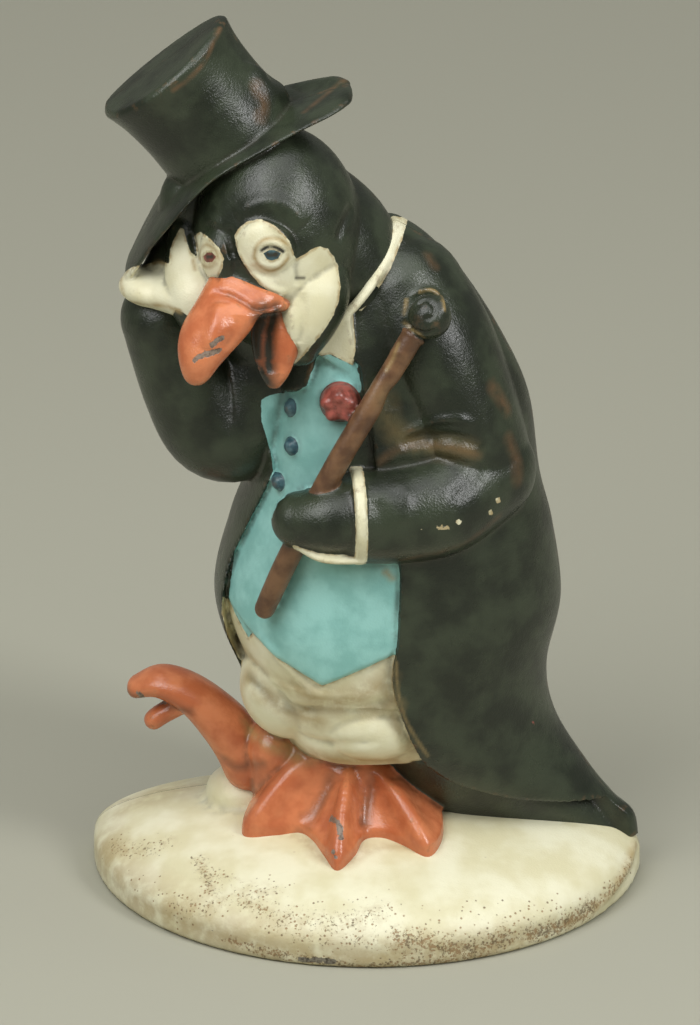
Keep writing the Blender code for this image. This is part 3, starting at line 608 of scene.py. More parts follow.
def distance_to_line(points: np.ndarray, line: np.ndarray) -> tuple[np.ndarray, np.ndarray]:
    """How far points are from a line of straight pieces.

    Args:
        points: The points, one a row.
        line: The line's corners, one a row.

    Returns:
        The distances, and how far along the line each nearest place is, from 0 to 1.
    """
    best = np.full(len(points), 1e9)
    along = np.zeros(len(points))
    lengths = np.linalg.norm(np.diff(line, axis=0), axis=1)
    whole = max(lengths.sum(), 1e-9)
    passed = 0.0
    for start, end, length in zip(line, line[1:], lengths):
        run = end - start
        share = np.clip((points - start) @ run / max(length * length, 1e-9), 0.0, 1.0)
        far = np.linalg.norm(points - (start + share[:, None] * run), axis=1)
        nearer = far < best
        best[nearer] = far[nearer]
        along[nearer] = (passed + share[nearer] * length) / whole
        passed += length
    return best, along


def near_line(points: np.ndarray, line: np.ndarray, reach: float) -> np.ndarray:
    """Whether points lie in the box round a line, widened by a reach.

    Args:
        points: The points, one a row.
        line: The line's corners, one a row.
        reach: How far the box reaches past the line.

    Returns:
        True for each point in the box.
    """
    return np.all((points > line.min(axis=0) - reach) & (points < line.max(axis=0) + reach), axis=1)


def inside_outline(points: np.ndarray, outline: np.ndarray) -> np.ndarray:
    """Whether flat points lie inside a closed outline.

    Args:
        points: Flat points, one a row.
        outline: The outline's corners, one a row.

    Returns:
        True for each point inside.
    """
    inside = np.zeros(len(points), bool)
    for start, end in zip(outline, np.roll(outline, -1, axis=0)):
        crosses = (start[1] > points[:, 1]) != (end[1] > points[:, 1])
        rise = end[1] - start[1]
        at = start[0] + (points[:, 1] - start[1]) * (end[0] - start[0]) / (rise if rise else 1e-9)
        inside ^= crosses & (points[:, 0] < at)
    return inside


@dataclass
class Base:
    """The oval mound with its low upright rim, and the hillock behind the lifted foot."""

    half_width: float = 73.1
    front: float = 67.7
    rear: float = 24.0
    rim: float = 6.0
    dome: float = 17.0
    dome_steps: int = 30
    dome_turn: float = 88.0
    edge: float = 1.0
    wall: float = 4.0
    hillock_at: tuple[float, float, float] = (-33.5, -6.0, -1.5)
    hillock_half_sizes: tuple[float, float, float] = (10.0, 11.0, 7.0)

    def share(self, x: float, y: float) -> float:
        """How far a point is from the middle of the base, as a share of the way to its edge."""
        return math.hypot(x / self.half_width, y / (self.front if y < 0 else self.rear))

    def height(self, x: float, y: float) -> float:
        """Height of the mound's surface at a point, counted from its crest."""
        share = min(self.share(x, y), 1.0)
        return self.dome * (math.sqrt(1.0 - share * share) - 1.0)

    def mound(
        self, name: str, inset: float, bottom: float, paint: Paint, sides: int = 200
    ) -> bpy.types.Object:
        """Builds the mound's outer form, or with an inset its hollow.

        Args:
            name: The form's name.
            inset: How far it lies inside the outer form.
            bottom: The height of its underside.
            paint: Its paint.
            sides: Points in each ring.

        Returns:
            The form's object.
        """
        levels = [(bottom, 1.0 - self.edge / self.half_width), (bottom + self.edge, 1.0)]
        levels += [(self.rim * share, 1.0) for share in (0.4, 0.6, 0.8)]
        rise = self.dome - inset
        for step in range(self.dome_steps):
            turn = math.radians(self.dome_turn * step / (self.dome_steps - 1))
            levels.append((self.rim + rise * math.sin(turn), math.cos(turn)))
        rings = []
        for height, share in levels:
            points = []
            for side in range(sides):
                angle = 2 * math.pi * side / sides
                reach = self.rear if math.sin(angle) > 0 else self.front
                x = (self.half_width - inset) * share * math.cos(angle)
                y = (reach - inset) * share * math.sin(angle)
                points.append(Vector((x, y, height)))
            rings.append(points)
        return skin(name, rings, paint)

    def forms(self) -> list[bpy.types.Object]:
        """Builds the mound and its hillock."""
        return [
            self.mound("mound", 0.0, 0.0, Paint.CREAM),
            ball("hillock", self.hillock_at, self.hillock_half_sizes, Paint.CREAM),
        ]


@dataclass
class EveningDress:
    """Tail coat, waistcoat and trousers: one body in three layers, each cut to its own edge."""

    coat_cloth: float = 1.8
    waistcoat_cloth: float = 1.0
    edge: float = 3.0
    coat: tuple[Section, ...] = (
        Section(-13.0, 16.0, 40.0, 71.9, 8.0, 9.0),
        Section(-6.5, 6.0, 28.5, 70.6, 13.5, 12.2),
        Section(-2.0, -0.5, 22.5, 65.6, 17.8, 14.2),
        Section(7.0, -12.0, 12.0, 58.4, 26.0, 18.0),
        Section(22.0, -25.0, 1.0, 49.5, 34.0, 21.0),
        Section(37.0, -34.5, -6.0, 47.1, 38.0, 23.0),
        Section(57.0, -41.4, -9.0, 50.8, 39.5, 24.0),
        Section(78.0, -37.3, -9.0, 48.4, 37.5, 24.0),
        Section(93.0, -32.3, -9.0, 44.9, 34.8, 23.7),
        Section(115.0, -29.0, -9.0, 42.0, 31.0, 22.0),
        Section(132.0, -24.0, -6.0, 34.8, 27.0, 20.0),
        Section(148.0, -17.0, 0.0, 25.0, 20.0, 17.0),
        Section(158.0, -8.0, 3.0, 16.0, 12.0, 12.0),
        Section(163.0, -2.0, 4.0, 9.0, 7.0, 7.0),
    )
    hips: tuple[Section, ...] = (
        Section(-8.0, -20.0, 0.0, 26.0, 16.0, 14.0),
        Section(11.0, -21.0, -2.0, 27.0, 16.0, 16.0),
        Section(15.0, -21.0, -2.0, 29.0, 18.0, 16.0),
        Section(18.0, -23.0, -3.0, 33.0, 28.0, 17.0),
        Section(28.0, -28.0, -6.0, 40.0, 32.0, 20.0),
        Section(42.0, -34.0, -8.0, 44.0, 36.0, 21.0),
    )
    hip_space: tuple[Section, ...] = (
        Section(-8.0, -15.0, 0.0, 21.0, 11.0, 9.0),
        Section(11.0, -16.5, -2.0, 22.0, 11.5, 11.0),
        Section(17.0, -18.0, -3.0, 27.0, 14.0, 12.0),
        Section(28.0, -24.0, -6.0, 35.0, 27.0, 15.0),
        Section(42.0, -29.0, -8.0, 39.0, 31.0, 16.0),
    )
    lining: tuple[Section, ...] = (
        Section(-14.0, 30.0, 48.0, 70.0, 6.0, 7.0),
        Section(-5.0, 12.0, 32.0, 63.0, 13.0, 11.0),
        Section(7.0, 2.0, 20.0, 52.0, 21.0, 15.0),
        Section(18.0, 0.0, 14.0, 45.0, 25.0, 17.0),
    )
    opening: tuple[tuple[float, float], ...] = (
        (-32.5, 38.0), (-35.5, 44.0), (-37.4, 54.0), (-37.2, 64.0), (-34.6, 74.0), (-30.3, 84.5),
        (-25.9, 95.0), (-23.7, 101.5), (-25.2, 107.0), (-28.2, 111.5), (-28.2, 115.5),
        (-25.6, 119.0), (-22.4, 121.8), (-17.4, 124.6), (-14.6, 127.0), (-13.0, 132.0),
        (-12.0, 135.0), (-8.0, 136.2), (-1.3, 134.2), (0.5, 128.0), (3.5, 112.0), (6.5, 96.0),
        (10.8, 81.5), (10.8, 60.0), (9.3, 46.5), (12.0, 33.5), (18.5, 18.5), (32.0, 9.0),
        (52.0, 2.0), (90.0, -6.0),
    )
    hem: tuple[tuple[float, float], ...] = (
        (-46.0, 66.0), (-28.0, 55.0), (-9.5, 45.0), (9.5, 54.5), (60.0, 70.0),
    )
    collar_height: float = 1.3
    collar_thickness: float = 1.7
    collar_centre: tuple[float, float, float] = (-7.2, -2.5, 151.0)
    collar_side: tuple[float, float, float] = (13.8, 0.0, 11.6)
    collar_front: tuple[float, float, float] = (0.0, 22.0, 6.5)
    collar_back: tuple[float, float, float] = (0.0, 16.5, 0.0)
    wing: tuple[tuple[float, float], ...] = (
        (-3.2, 147.0), (-10.0, 142.0), (-13.5, 137.0), (-3.0, 130.5), (-2.0, 138.0),
    )
    wing_seat: tuple[float, float] = (-5.0, 140.0)
    wing_relief: float = 2.5
    wing_root_y: float = -10.0
    rose_radius: float = 5.2
    rose_at: tuple[float, float] = (-5.6, 123.6)
    petals: int = 5
    petal_half_sizes: tuple[float, float, float] = (2.4, 2.2, 2.0)
    button_radius: float = 2.3
    buttons_at: tuple[tuple[float, float], ...] = ((-18.8, 119.0), (-18.4, 109.5), (-21.8, 98.5))

    def front_depth(self, x: float, height: float, inset: float) -> float:
        """How far the coat's loft stands out in front of the parting plane at a point."""
        lower = max((cut for cut in self.coat if cut.height <= height), key=lambda cut: cut.height)
        upper = min((cut for cut in self.coat if cut.height > height), key=lambda cut: cut.height)
        share = (height - lower.height) / (upper.height - lower.height)
        cut = Section(*(a + (b - a) * share for a, b in zip(lower, upper)))
        reach = (cut.right - cut.crown if x > cut.crown else cut.crown - cut.left) - inset
        off = min(abs(x - cut.crown) / reach, 0.95)
        return (cut.front - inset) * math.sqrt(1.0 - off * off)

    def layers(self) -> list[bpy.types.Object]:
        """Builds the coat, the waistcoat, the trousers, the legs and the tail's lining."""
        coat = level_loft("coat", self.coat, 0.0, Paint.BLACK)
        floor_z = -60.0
        below = ((THROUGH, floor_z), (-THROUGH, floor_z), (-THROUGH, self.opening[0][1]))
        rounded = tuple((row[0], row[1]) for row in smooth_rows(self.opening, 5))
        opening = slab("opening", rounded + below, -THROUGH, -self.edge, Paint.BLACK)
        combine(coat, [opening], "DIFFERENCE")
        upper = [cut for cut in self.coat if cut.height > TROUSER_HEM]
        waistcoat = level_loft("waistcoat", upper, self.coat_cloth, Paint.BLUE)
        under_hem = tuple((x, 0.0) for x, _ in (self.hem[-1], self.hem[0]))
        hem = slab("hem", self.hem + under_hem, -THROUGH, THROUGH, Paint.BLUE)
        combine(waistcoat, [hem], "DIFFERENCE")
        inset = self.coat_cloth + self.waistcoat_cloth
        return [
            coat,
            waistcoat,
            level_loft("trousers", upper[:-2], inset, Paint.CREAM),
            level_loft("hips", self.hips, 0.0, Paint.CREAM),
            level_loft("lining", self.lining, 0.0, Paint.BLACK),
            ball("left_leg", (-19.0, -14.5, 35.0), (14.5, 15.5, 15.0), Paint.CREAM),
            ball("right_leg", (2.0, -19.0, 29.0), (17.0, 16.0, 12.0), Paint.CREAM),
        ]

    def band(self) -> bpy.types.Object:
        """Builds the shirt collar's band: a tilted ring round the neck."""
        rings = []
        sides = 28
        count = 120
        centre = Vector(self.collar_centre)
        side_reach = Vector(self.collar_side)
        for index in range(count):
            turn = 2 * math.pi * index / count
            depth = Vector(self.collar_back if math.sin(turn) > 0 else self.collar_front)
            place = centre + side_reach * math.cos(turn) + depth * math.sin(turn)
            out = (place - centre).normalized()
            along = (depth * math.cos(turn) - side_reach * math.sin(turn)).normalized()
            up = along.cross(out).normalized()
            ring = []
            for side in range(sides):
                angle = 2 * math.pi * side / sides
                off = out * self.collar_thickness * math.cos(angle)
                ring.append(at_height(place + off + up * self.collar_height * math.sin(angle)))
            rings.append(ring)
        return skin("collar", rings, Paint.CREAM, endless=True)

    def rose(self) -> list[bpy.types.Object]:
        """Builds the rose in the buttonhole: a heart and a ring of petals round it."""
        x, height = self.rose_at
        depth = -self.front_depth(x, height, self.coat_cloth) - 1.0
        heart = (self.rose_radius, 4.0, self.rose_radius)
        made = [ball("rose", (x, depth, height), heart, Paint.RED)]
        off = 0.55 * self.rose_radius
        for index in range(self.petals):
            turn = math.radians(360.0 / self.petals * index + 20.0)
            place = (x + off * math.cos(turn), depth - 2.4, height + off * math.sin(turn))
            made.append(ball("petal_%d" % index, place, self.petal_half_sizes, Paint.RED, turn, 24))
        return made

    def forms(self) -> list[bpy.types.Object]:
        """Builds every form of the dress."""
        wing_front = -self.front_depth(*self.wing_seat, 0.0) - self.wing_relief
        wing = slab("wing", self.wing, wing_front, self.wing_root_y, Paint.CREAM)
        made = self.layers() + [self.band(), wing] + self.rose()
        for index, (x, height) in enumerate(self.buttons_at):
            place = (x, -self.front_depth(x, height, self.coat_cloth), height)
            sizes = (self.button_radius,) * 3
            made.append(ball("button_%d" % index, place, sizes, Paint.NAVY, sides=32))
        return made


@dataclass
class HeadAndBeak:
    """Head, neck, cheeks, eyes and the two halves of the beak."""

    centre: tuple[float, float, float] = (-23.5, -11.0, 162.5)
    half_sizes: tuple[float, float, float] = (22.5, 23.0, 31.0)
    neck_radius: float = 19.0
    eye_half_width: float = 7.8
    eye_half_height: float = 7.6
    eye_relief: float = 3.0
    eye_sink: float = 1.0
    upper_bill: tuple[BillCut, ...] = (
        BillCut(-34.1, 159.3, -19.2, 152.0, -20.0, 6.0, 6.0),
        BillCut(-39.3, 158.5, -16.9, 152.1, -27.0, 7.5, 6.0),
        BillCut(-42.8, 153.9, -19.6, 151.9, -33.0, 8.0, 5.0),
        BillCut(-46.1, 149.0, -26.0, 149.9, -38.0, 7.5, 3.5),
        BillCut(-47.1, 144.7, -31.0, 145.4, -42.0, 6.0, 2.8),
        BillCut(-46.3, 140.3, -35.4, 141.0, -45.0, 4.5, 2.2),
        BillCut(-44.8, 136.9, -38.4, 137.2, -46.5, 2.6, 1.5),
        BillCut(-42.9, 135.5, -40.5, 135.6, -47.0, 1.0, 0.8),
    )
    lower_bill: tuple[BillCut, ...] = (
        BillCut(-27.0, 152.3, -17.1, 152.1, -22.0, 3.0, 6.0),
        BillCut(-28.6, 148.6, -15.8, 152.1, -28.0, 3.4, 6.0),
        BillCut(-28.8, 143.2, -15.8, 146.1, -31.5, 3.4, 6.0),
        BillCut(-27.8, 137.7, -16.4, 140.0, -33.5, 3.2, 5.0),
        BillCut(-25.9, 133.2, -18.1, 134.6, -34.8, 2.4, 3.0),
        BillCut(-24.2, 130.8, -20.2, 131.3, -35.3, 1.5, 1.8),
        BillCut(-22.9, 130.1, -21.3, 130.2, -35.5, 0.6, 0.8),
    )

    def depth(self, x: float, height: float) -> float:
        """How far the head stands out in front of the parting plane at a point of the face."""
        across = (x - self.centre[0]) / self.half_sizes[0]
        up = (height - self.centre[2]) / self.half_sizes[2]
        return self.half_sizes[1] * math.sqrt(max(1.0 - across**2 - up**2, 0.1)) - self.centre[1]

    def forms(self) -> list[bpy.types.Object]:
        """Builds every form of the head."""
        radius = self.neck_radius
        neck = (
            Station(-19.0, -5.0, 168.0, radius - 1.0, radius - 3.0),
            Station(-10.5, -3.5, 158.5, radius - 0.5, radius - 2.0),
            Station(-4.5, -3.5, 147.0, radius - 1.5, radius - 2.5),
        )
        made = [
            ball("head", self.centre, self.half_sizes, Paint.BLACK, sides=96),
            ball("throat", (-13.5, -12.0, 141.0), (13.0, 13.0, 12.0), Paint.BLACK),
            limb("neck", neck, Paint.BLACK, sides=72),
        ]
        left = (
            Station(-42.0, -23.5, 143.5, 5.0, 6.5),
            Station(-43.5, -23.0, 150.0, 7.0, 8.0),
            Station(-46.5, -18.5, 158.0, 5.0, 6.5),
            Station(-48.6, -14.5, 165.5, 2.5, 3.5),
        )
        right = (
            Station(-17.0, -28.0, 139.0, 5.0, 6.0),
            Station(-15.0, -27.5, 146.0, 8.0, 8.5),
            Station(-12.6, -24.5, 154.0, 9.0, 9.5),
            Station(-12.0, -21.0, 161.0, 7.0, 7.5),
        )
        made += [limb("left_cheek", left, Paint.BLACK), limb("right_cheek", right, Paint.BLACK)]
        made.append(ball("temple", (-46.5, -6.0, 168.0), (9.0, 9.0, 13.0), Paint.BLACK))
        for name, x, height, half_width, turn in (
            ("left_eye", -38.0, 164.0, self.eye_half_width - 1.5, -0.85),
            ("right_eye", -24.5, 169.0, self.eye_half_width, -0.05),
        ):
            place = (x, -self.depth(x, height) + self.eye_sink, height)
            sizes = (half_width, self.eye_relief, self.eye_half_height)
            made.append(ball(name, place, sizes, Paint.BLACK, turn))
        made.append(bill("upper_bill", self.upper_bill, Paint.ORANGE))
        made.append(bill("lower_bill", self.lower_bill, Paint.ORANGE))
        return made


@dataclass
class TopHat:
    """Top hat: a flared crown and a brim that droops to the left and curls up on the right."""

    base_at: tuple[float, float, float] = (-38.5, 0.0, 188.0)
    top_radius: float = 20.8
    waist_radius: float = 18.8
    base_radius: float = 19.6
    tilt: float = math.radians(40.0)
    length: float = 25.5
    rounding: float = 1.2
    rear_share: float = 0.65
    rear_slope: float = 0.1
    brim_thickness: float = 3.0
    brim_half_depth: float = 21.0

    def crown(self) -> bpy.types.Object:
        """Builds the crown, which flares to a flat top with a soft rim."""
        base = Vector(self.base_at)
        axis = Vector((-math.sin(self.tilt), 0.0, math.cos(self.tilt)))
        across = Vector((math.cos(self.tilt), 0.0, math.sin(self.tilt)))
        profile = (
            (-8.0, self.base_radius - 1.5),
            (0.0, self.base_radius - 0.6),
            (self.length * 0.35, self.waist_radius),
            (self.length * 0.7, (self.waist_radius + self.top_radius) / 2 - 0.4),
            (self.length - self.rounding, self.top_radius),
        )
        rows = smooth_rows(profile, 6) + [[self.length, self.top_radius - self.rounding]]
        sides = 96
        rings = []
        for along, radius in rows:
            ring = []
            for side in range(sides):
                angle = 2 * math.pi * side / sides
                behind = radius * math.sin(angle)
                if behind > 0:
                    behind *= self.rear_share
                slope = self.rear_slope * max(behind, 0.0) * along / self.length
                centre = base + axis * (along - slope)
                place = centre + across * radius * math.cos(angle) + DEPTH_AXIS * behind
                ring.append(at_height(place))
            rings.append(ring)
        return skin("crown", rings, Paint.BLACK)

    def forms(self) -> list[bpy.types.Object]:
        """Builds the crown and the brim."""
        half = self.brim_thickness / 2
        depth = self.brim_half_depth
        path = (
            Station(-62.6, -6.0, 151.5, depth * 0.5, half),
            Station(-59.3, -6.0, 158.0, depth * 0.78, half),
            Station(-53.5, -5.0, 167.5, depth * 0.95, half),
            Station(-41.0, -4.0, 183.0, depth, half),
            Station(-28.0, -4.0, 191.5, depth * 0.9, half),
            Station(-17.5, -3.5, 196.5, depth * 0.7, half),
            Station(-9.5, -2.5, 199.5, depth * 0.52, half),
            Station(-6.0, -2.0, 200.8, depth * 0.35, half),
        )
        return [self.crown(), limb("brim", path, Paint.BLACK, sides=72)]


@dataclass
class RaisedArm:
    """The arm at the hat: sleeve, cuff and the flipper that holds the brim."""

    sleeve_radius: float = 14.5
    cuff_at: tuple[float, float, float] = (-54.0, -14.5, 149.0)
    cuff_half_sizes: tuple[float, float, float] = (11.3, 9.5, 5.0)

    def sleeve(self) -> list[bpy.types.Object]:
        """Builds the sleeve and the fullness of the coat under the arm."""
        radius = self.sleeve_radius
        path = (
            Station(-54.0, -10.0, 138.0, radius - 2.0, radius - 3.2),
            Station(-46.3, -10.0, 119.0, radius, radius - 1.0),
            Station(-39.8, -9.5, 107.6, radius + 1.0, radius),
            Station(-32.0, -8.5, 109.0, radius, radius + 1.0),
            Station(-25.0, -5.0, 122.0, radius, radius + 2.0),
            Station(-20.0, -4.0, 137.0, radius - 1.0, radius),
        )
        armpit = ball("armpit", (-28.0, -8.0, 137.0), (13.0, 11.0, 16.0), Paint.BLACK)
        return [limb("raised_sleeve", path, Paint.BLACK), armpit]

    def hand(self) -> list[bpy.types.Object]:
        """Builds the cuff and the flipper, which touch the head and the brim."""
        path = (
            Station(-54.5, -8.5, 142.0, 7.0, 7.5),
            Station(-52.5, -9.5, 151.0, 7.5, 7.0),
            Station(-49.0, -10.0, 160.0, 6.0, 5.5),
        )
        palm = (
            Station(-54.0, -15.0, 149.0, 8.5, 5.0),
            Station(-47.5, -19.0, 149.3, 8.5, 5.5),
            Station(-43.0, -22.5, 149.5, 8.0, 6.0),
        )
        return [
            ball("raised_cuff", self.cuff_at, self.cuff_half_sizes, Paint.CREAM),
            limb("raised_flipper", path, Paint.BLACK),
            limb("palm", palm, Paint.CREAM),
        ]


@dataclass
class FoldedArm:
    """The arm that holds the cane against the waistcoat, and the cane."""

    sleeve_radius: float = 14.5
    shoulder_radius: float = 16.9
    cuff_at: tuple[float, float, float] = (0.8, -34.0, 93.6)
    cuff_radius: float = 12.9
    cuff_thickness: float = 2.6
    hand_length: float = 17.5
    cane_radius: float = 3.1
    knob_radius: float = 5.8
    knob_at: tuple[float, float, float] = (18.0, -27.5, 148.8)

    def arm(self) -> list[bpy.types.Object]:
        """Builds the sleeve, the cuff, the strip under it and the hand."""
        radius = self.sleeve_radius
        shoulder = self.shoulder_radius
        upper = (
            Station(9.0, -4.0, 144.0, shoulder, shoulder),
            Station(17.5, -9.0, 132.0, shoulder + 1.0, shoulder - 0.5),
            Station(25.0, -12.0, 116.0, shoulder, shoulder - 2.0),
            Station(29.5, -13.0, 101.0, radius + 1.0, radius),
        )
        fore = (
            Station(30.5, -13.5, 99.0, radius + 0.5, radius),
            Station(20.5, -25.0, 94.0, radius - 1.0, radius - 0.5),
            Station(9.0, -31.0, 93.0, radius - 2.0, radius - 1.5),
            Station(1.2, -33.5, 93.2, radius - 2.3, radius - 2.0),
        )
        x, y, z = self.cuff_at
        cuff = (
            Station(x, y, z, self.cuff_radius, self.cuff_radius),
            Station(x - self.cuff_thickness, y - 0.5, z, self.cuff_radius, self.cuff_radius),
        )
        hand = (
            Station(0.0, -34.5, 93.5, 10.0, 9.8),
            Station(-7.5, -37.5, 94.0, 9.5, 9.2),
            Station(2.0 - self.hand_length, -36.5, 93.0, 8.0, 7.5),
        )
        under_cuff = (
            Station(-0.5, -33.5, 84.8, 11.0, 2.2),
            Station(-10.0, -35.5, 85.6, 10.0, 2.2),
            Station(-18.5, -36.5, 89.5, 5.5, 1.8),
        )
        return [
            limb("upper_sleeve", upper, Paint.BLACK, sides=56),
            limb("fore_sleeve", fore, Paint.BLACK),
            limb("cuff", cuff, Paint.CREAM, steps=2, round_ends=False),
            limb("hand", hand, Paint.BLACK),
            limb("under_cuff", under_cuff, Paint.CREAM),
        ]

    def cane(self) -> list[bpy.types.Object]:
        """Builds the cane and its knob."""
        radius = self.cane_radius
        rod = (
            Station(13.0, -28.5, 142.5, radius, radius),
            Station(3.3, -33.5, 125.5, radius, radius),
            Station(-6.8, -37.0, 107.4, radius, radius),
            Station(-18.7, -37.5, 81.5, radius, radius),
            Station(-24.8, -36.0, 66.5, radius - 0.3, radius - 0.3),
        )
        knob = ball("knob", self.knob_at, (self.knob_radius,) * 3, Paint.BLACK)
        return [limb("cane", rod, Paint.BROWN, sides=28), knob]

    def forms(self) -> list[bpy.types.Object]:
        """Builds the arm and the cane."""
        return self.arm() + self.cane()


@dataclass
class Feet:
    """The lifted foot on the parting plane and the webbed foot that stands on the mound."""

    base: Base
    toe_radius: float = 3.4
    ankle_radius: float = 6.5
    ankle_at: tuple[float, float, float] = (-3.0, -15.5, 16.0)
    ankle_half_sizes: tuple[float, float] = (17.0, 7.0)
    ankle_slope: float = -0.19
    web_thickness: float = 12.0
    web_edge: float = 2.2
    web_lip_share: float = 0.3
    web_sag: float = 1.3
    web_rings: int = 12
    inmost_share: float = 0.985
    toe_ridge: float = 1.9
    ridge_width: float = 0.6
    ridge_flare: float = 0.3
    toes: tuple[int, ...] = (2, 7, 12)
    web: tuple[tuple[float, float], ...] = (
        (-27.5, -5.0), (-30.5, -15.0), (-31.5, -29.5), (-22.8, -30.5), (-16.2, -29.5),
        (-12.3, -33.5), (-9.0, -39.8), (-4.8, -46.5), (-0.6, -39.8), (1.2, -32.5), (6.0, -31.0),
        (12.0, -34.0), (18.9, -38.0), (21.8, -28.5), (20.0, -15.0), (14.0, -5.0), (-6.0, -1.0),
    )

    def lifted(self) -> list[bpy.types.Object]:
        """Builds the lifted foot with its curled lower toe and the heel that carries it."""
        ankle = self.ankle_radius
        toe = self.toe_radius
        path = (
            Station(-31.5, -10.0, 8.0, 7.5, ankle + 0.5),
            Station(-34.0, -10.0, 13.5, 8.0, ankle + 0.3),
            Station(-38.0, -9.5, 19.5, 8.5, ankle),
            Station(-46.5, -9.0, 27.5, 8.0, ankle - 1.5),
            Station(-55.0, -8.5, 31.0, 7.0, ankle - 2.5),
            Station(-61.5, -8.0, 29.0, 5.0, toe - 0.6),
        )
        under = (
            Station(-48.0, -8.0, 25.5, toe, toe - 0.5),
            Station(-54.5, -9.0, 21.8, toe, toe - 0.6),
            Station(-57.0, -9.5, 20.0, toe, toe - 0.7),
        )
        heel = (
            Station(-24.5, -13.5, 15.5, 8.5, ankle + 1.0),
            Station(-24.0, -12.0, 2.0, 8.0, ankle),
        )
        return [
            limb("lifted_foot", path, Paint.ORANGE),
            limb("under_toe", under, Paint.ORANGE),
            limb("heel", heel, Paint.ORANGE),
        ]

    def standing(self) -> bpy.types.Object:
        """Builds the webbed foot, which fans out from the ankle in three toes with a web between."""
        steps = 8
        count = len(self.web)
        closed = self.web[-1:] + self.web + self.web[:2]
        rim = smooth_rows(closed, steps)[steps : steps * (count + 1)]
        middle = at_height(self.ankle_at)
        wide, deep = self.ankle_half_sizes
        rings = []
        for lift in (self.web_edge - self.web_thickness, self.web_lip_share * self.web_edge):
            rings.append([at_height((x, y, self.base.height(x, y) + lift)) for x, y in rim])
        for step in range(self.web_rings + 1):
            share = 1.0 - step / self.web_rings
            ring = []
            for index, (x, y) in enumerate(rim):
                turn = math.atan2((y - middle.y) / deep, (x - middle.x) / wide)
                side = wide * math.cos(turn)
                inner = middle + Vector((side, deep * math.sin(turn), self.ankle_slope * side))
                edge = at_height((x, y, self.base.height(x, y) + self.web_edge))
                place = inner.lerp(edge, share if step else self.inmost_share)
                near = min(abs(index - toe * steps) for toe in self.toes)
                spread = steps * (self.ridge_width + self.ridge_flare * share)
                ridge = math.exp(-((near / spread) ** 2))
                sag = math.sin(math.pi * share)
                place.z += self.toe_ridge * ridge * min(1.0, 3.0 * share) * (0.3 + 0.7 * sag)
                place.z -= self.web_sag * sag * (1.0 - ridge)
                ring.append(place)
            rings.append(ring)
        return skin("web", rings, Paint.ORANGE)

    def forms(self) -> list[bpy.types.Object]:
        """Builds both feet."""
        return self.lifted() + [self.standing()]


@dataclass
class Hollow:
    """The space inside the castings, and what is drilled and recessed for the screws and pins."""

    dress: EveningDress
    base: Base
    head: HeadAndBeak
    screw_radius: float = 2.4
    screw_clearance: float = 0.3
    screw_head_radius: float = 4.7
    head_clearance: float = 0.6
    boss_wall: float = 3.2
    seat_y: float = 15.0
    thread_end: float = -26.0
    screws_at: tuple[tuple[float, float], ...] = ((6.0, 110.0), (8.0, 41.0))
    pins_at: tuple[tuple[float, float], ...] = ((-31.0, 62.0), (38.0, 88.0))
    pin_radius: float = 2.0
    pin_length: float = 3.0
    pin_clearance: float = 0.4
    pin_pad_radius: float = 5.0

    def space(self) -> bpy.types.Object:
        """Builds the hollow with the bosses and pads left standing in it."""
        inset = self.dress.coat_cloth + self.dress.waistcoat_cloth + WALL
        core = self.base.mound("hollow", self.base.wall, -5.0, Paint.IRON, sides=96)
        upper = [cut for cut in self.dress.coat if TROUSER_HEM < cut.height < TRUNK_TOP]
        halves = [size - WALL for size in self.head.half_sizes]
        neck = (Station(-20.0, -7.0, 162.0, 10.0, 10.0), Station(-6.0, -2.0, 139.0, 10.0, 10.0))
        crown = (Station(-30.0, -6.0, 173.0, 10.0, 10.0), Station(-50.0, -5.0, 197.0, 11.0, 12.0))
        spaces = [
            level_loft("trunk_space", upper, inset, Paint.IRON, steps=3, sides=64),
            level_loft("hip_space", self.dress.hip_space, 0.0, Paint.IRON, steps=3, sides=64),
            ball("head_space", self.head.centre, halves, Paint.IRON, sides=48),
            limb("neck_space", neck, Paint.IRON, sides=32),
            limb("crown_space", crown, Paint.IRON, sides=32, round_ends=False),
        ]
        combine(core, spaces, "UNION")
        boss = self.screw_head_radius + self.head_clearance + self.boss_wall
        posts = []
        for name, radius, places in (
            ("boss", boss, self.screws_at),
            ("pad", self.pin_pad_radius, self.pins_at),
        ):
            for index, (x, z) in enumerate(places):
                posts.append(pillar("%s_%d" % (name, index), x, z, radius, -THROUGH, THROUGH))
        return combine(core, posts, "DIFFERENCE")

    def drills(self, front: bool) -> bpy.types.Object:
        """Builds everything that is drilled into one casting.

        Args:
            front: Whether it is the front casting.

        Returns:
            One object that cuts it all.
        """
        cuts = []
        bore = self.screw_radius + self.screw_clearance
        for index, (x, z) in enumerate(self.screws_at):
            if front:
                cuts.append(pillar("thread_%d" % index, x, z, bore, 5.0, self.thread_end))
                continue
            recess = self.screw_head_radius + self.head_clearance
            cuts.append(pillar("bore_%d" % index, x, z, bore, -5.0, THROUGH))
            cuts.append(pillar("recess_%d" % index, x, z, recess, self.seat_y, THROUGH))
        if not front:
            radius = self.pin_radius + self.pin_clearance
            depth = self.pin_length + self.pin_clearance
            for index, (x, z) in enumerate(self.pins_at):
                cuts.append(pillar("socket_%d" % index, x, z, radius, -5.0, depth))
        return combine(cuts[0], cuts[1:], "UNION")


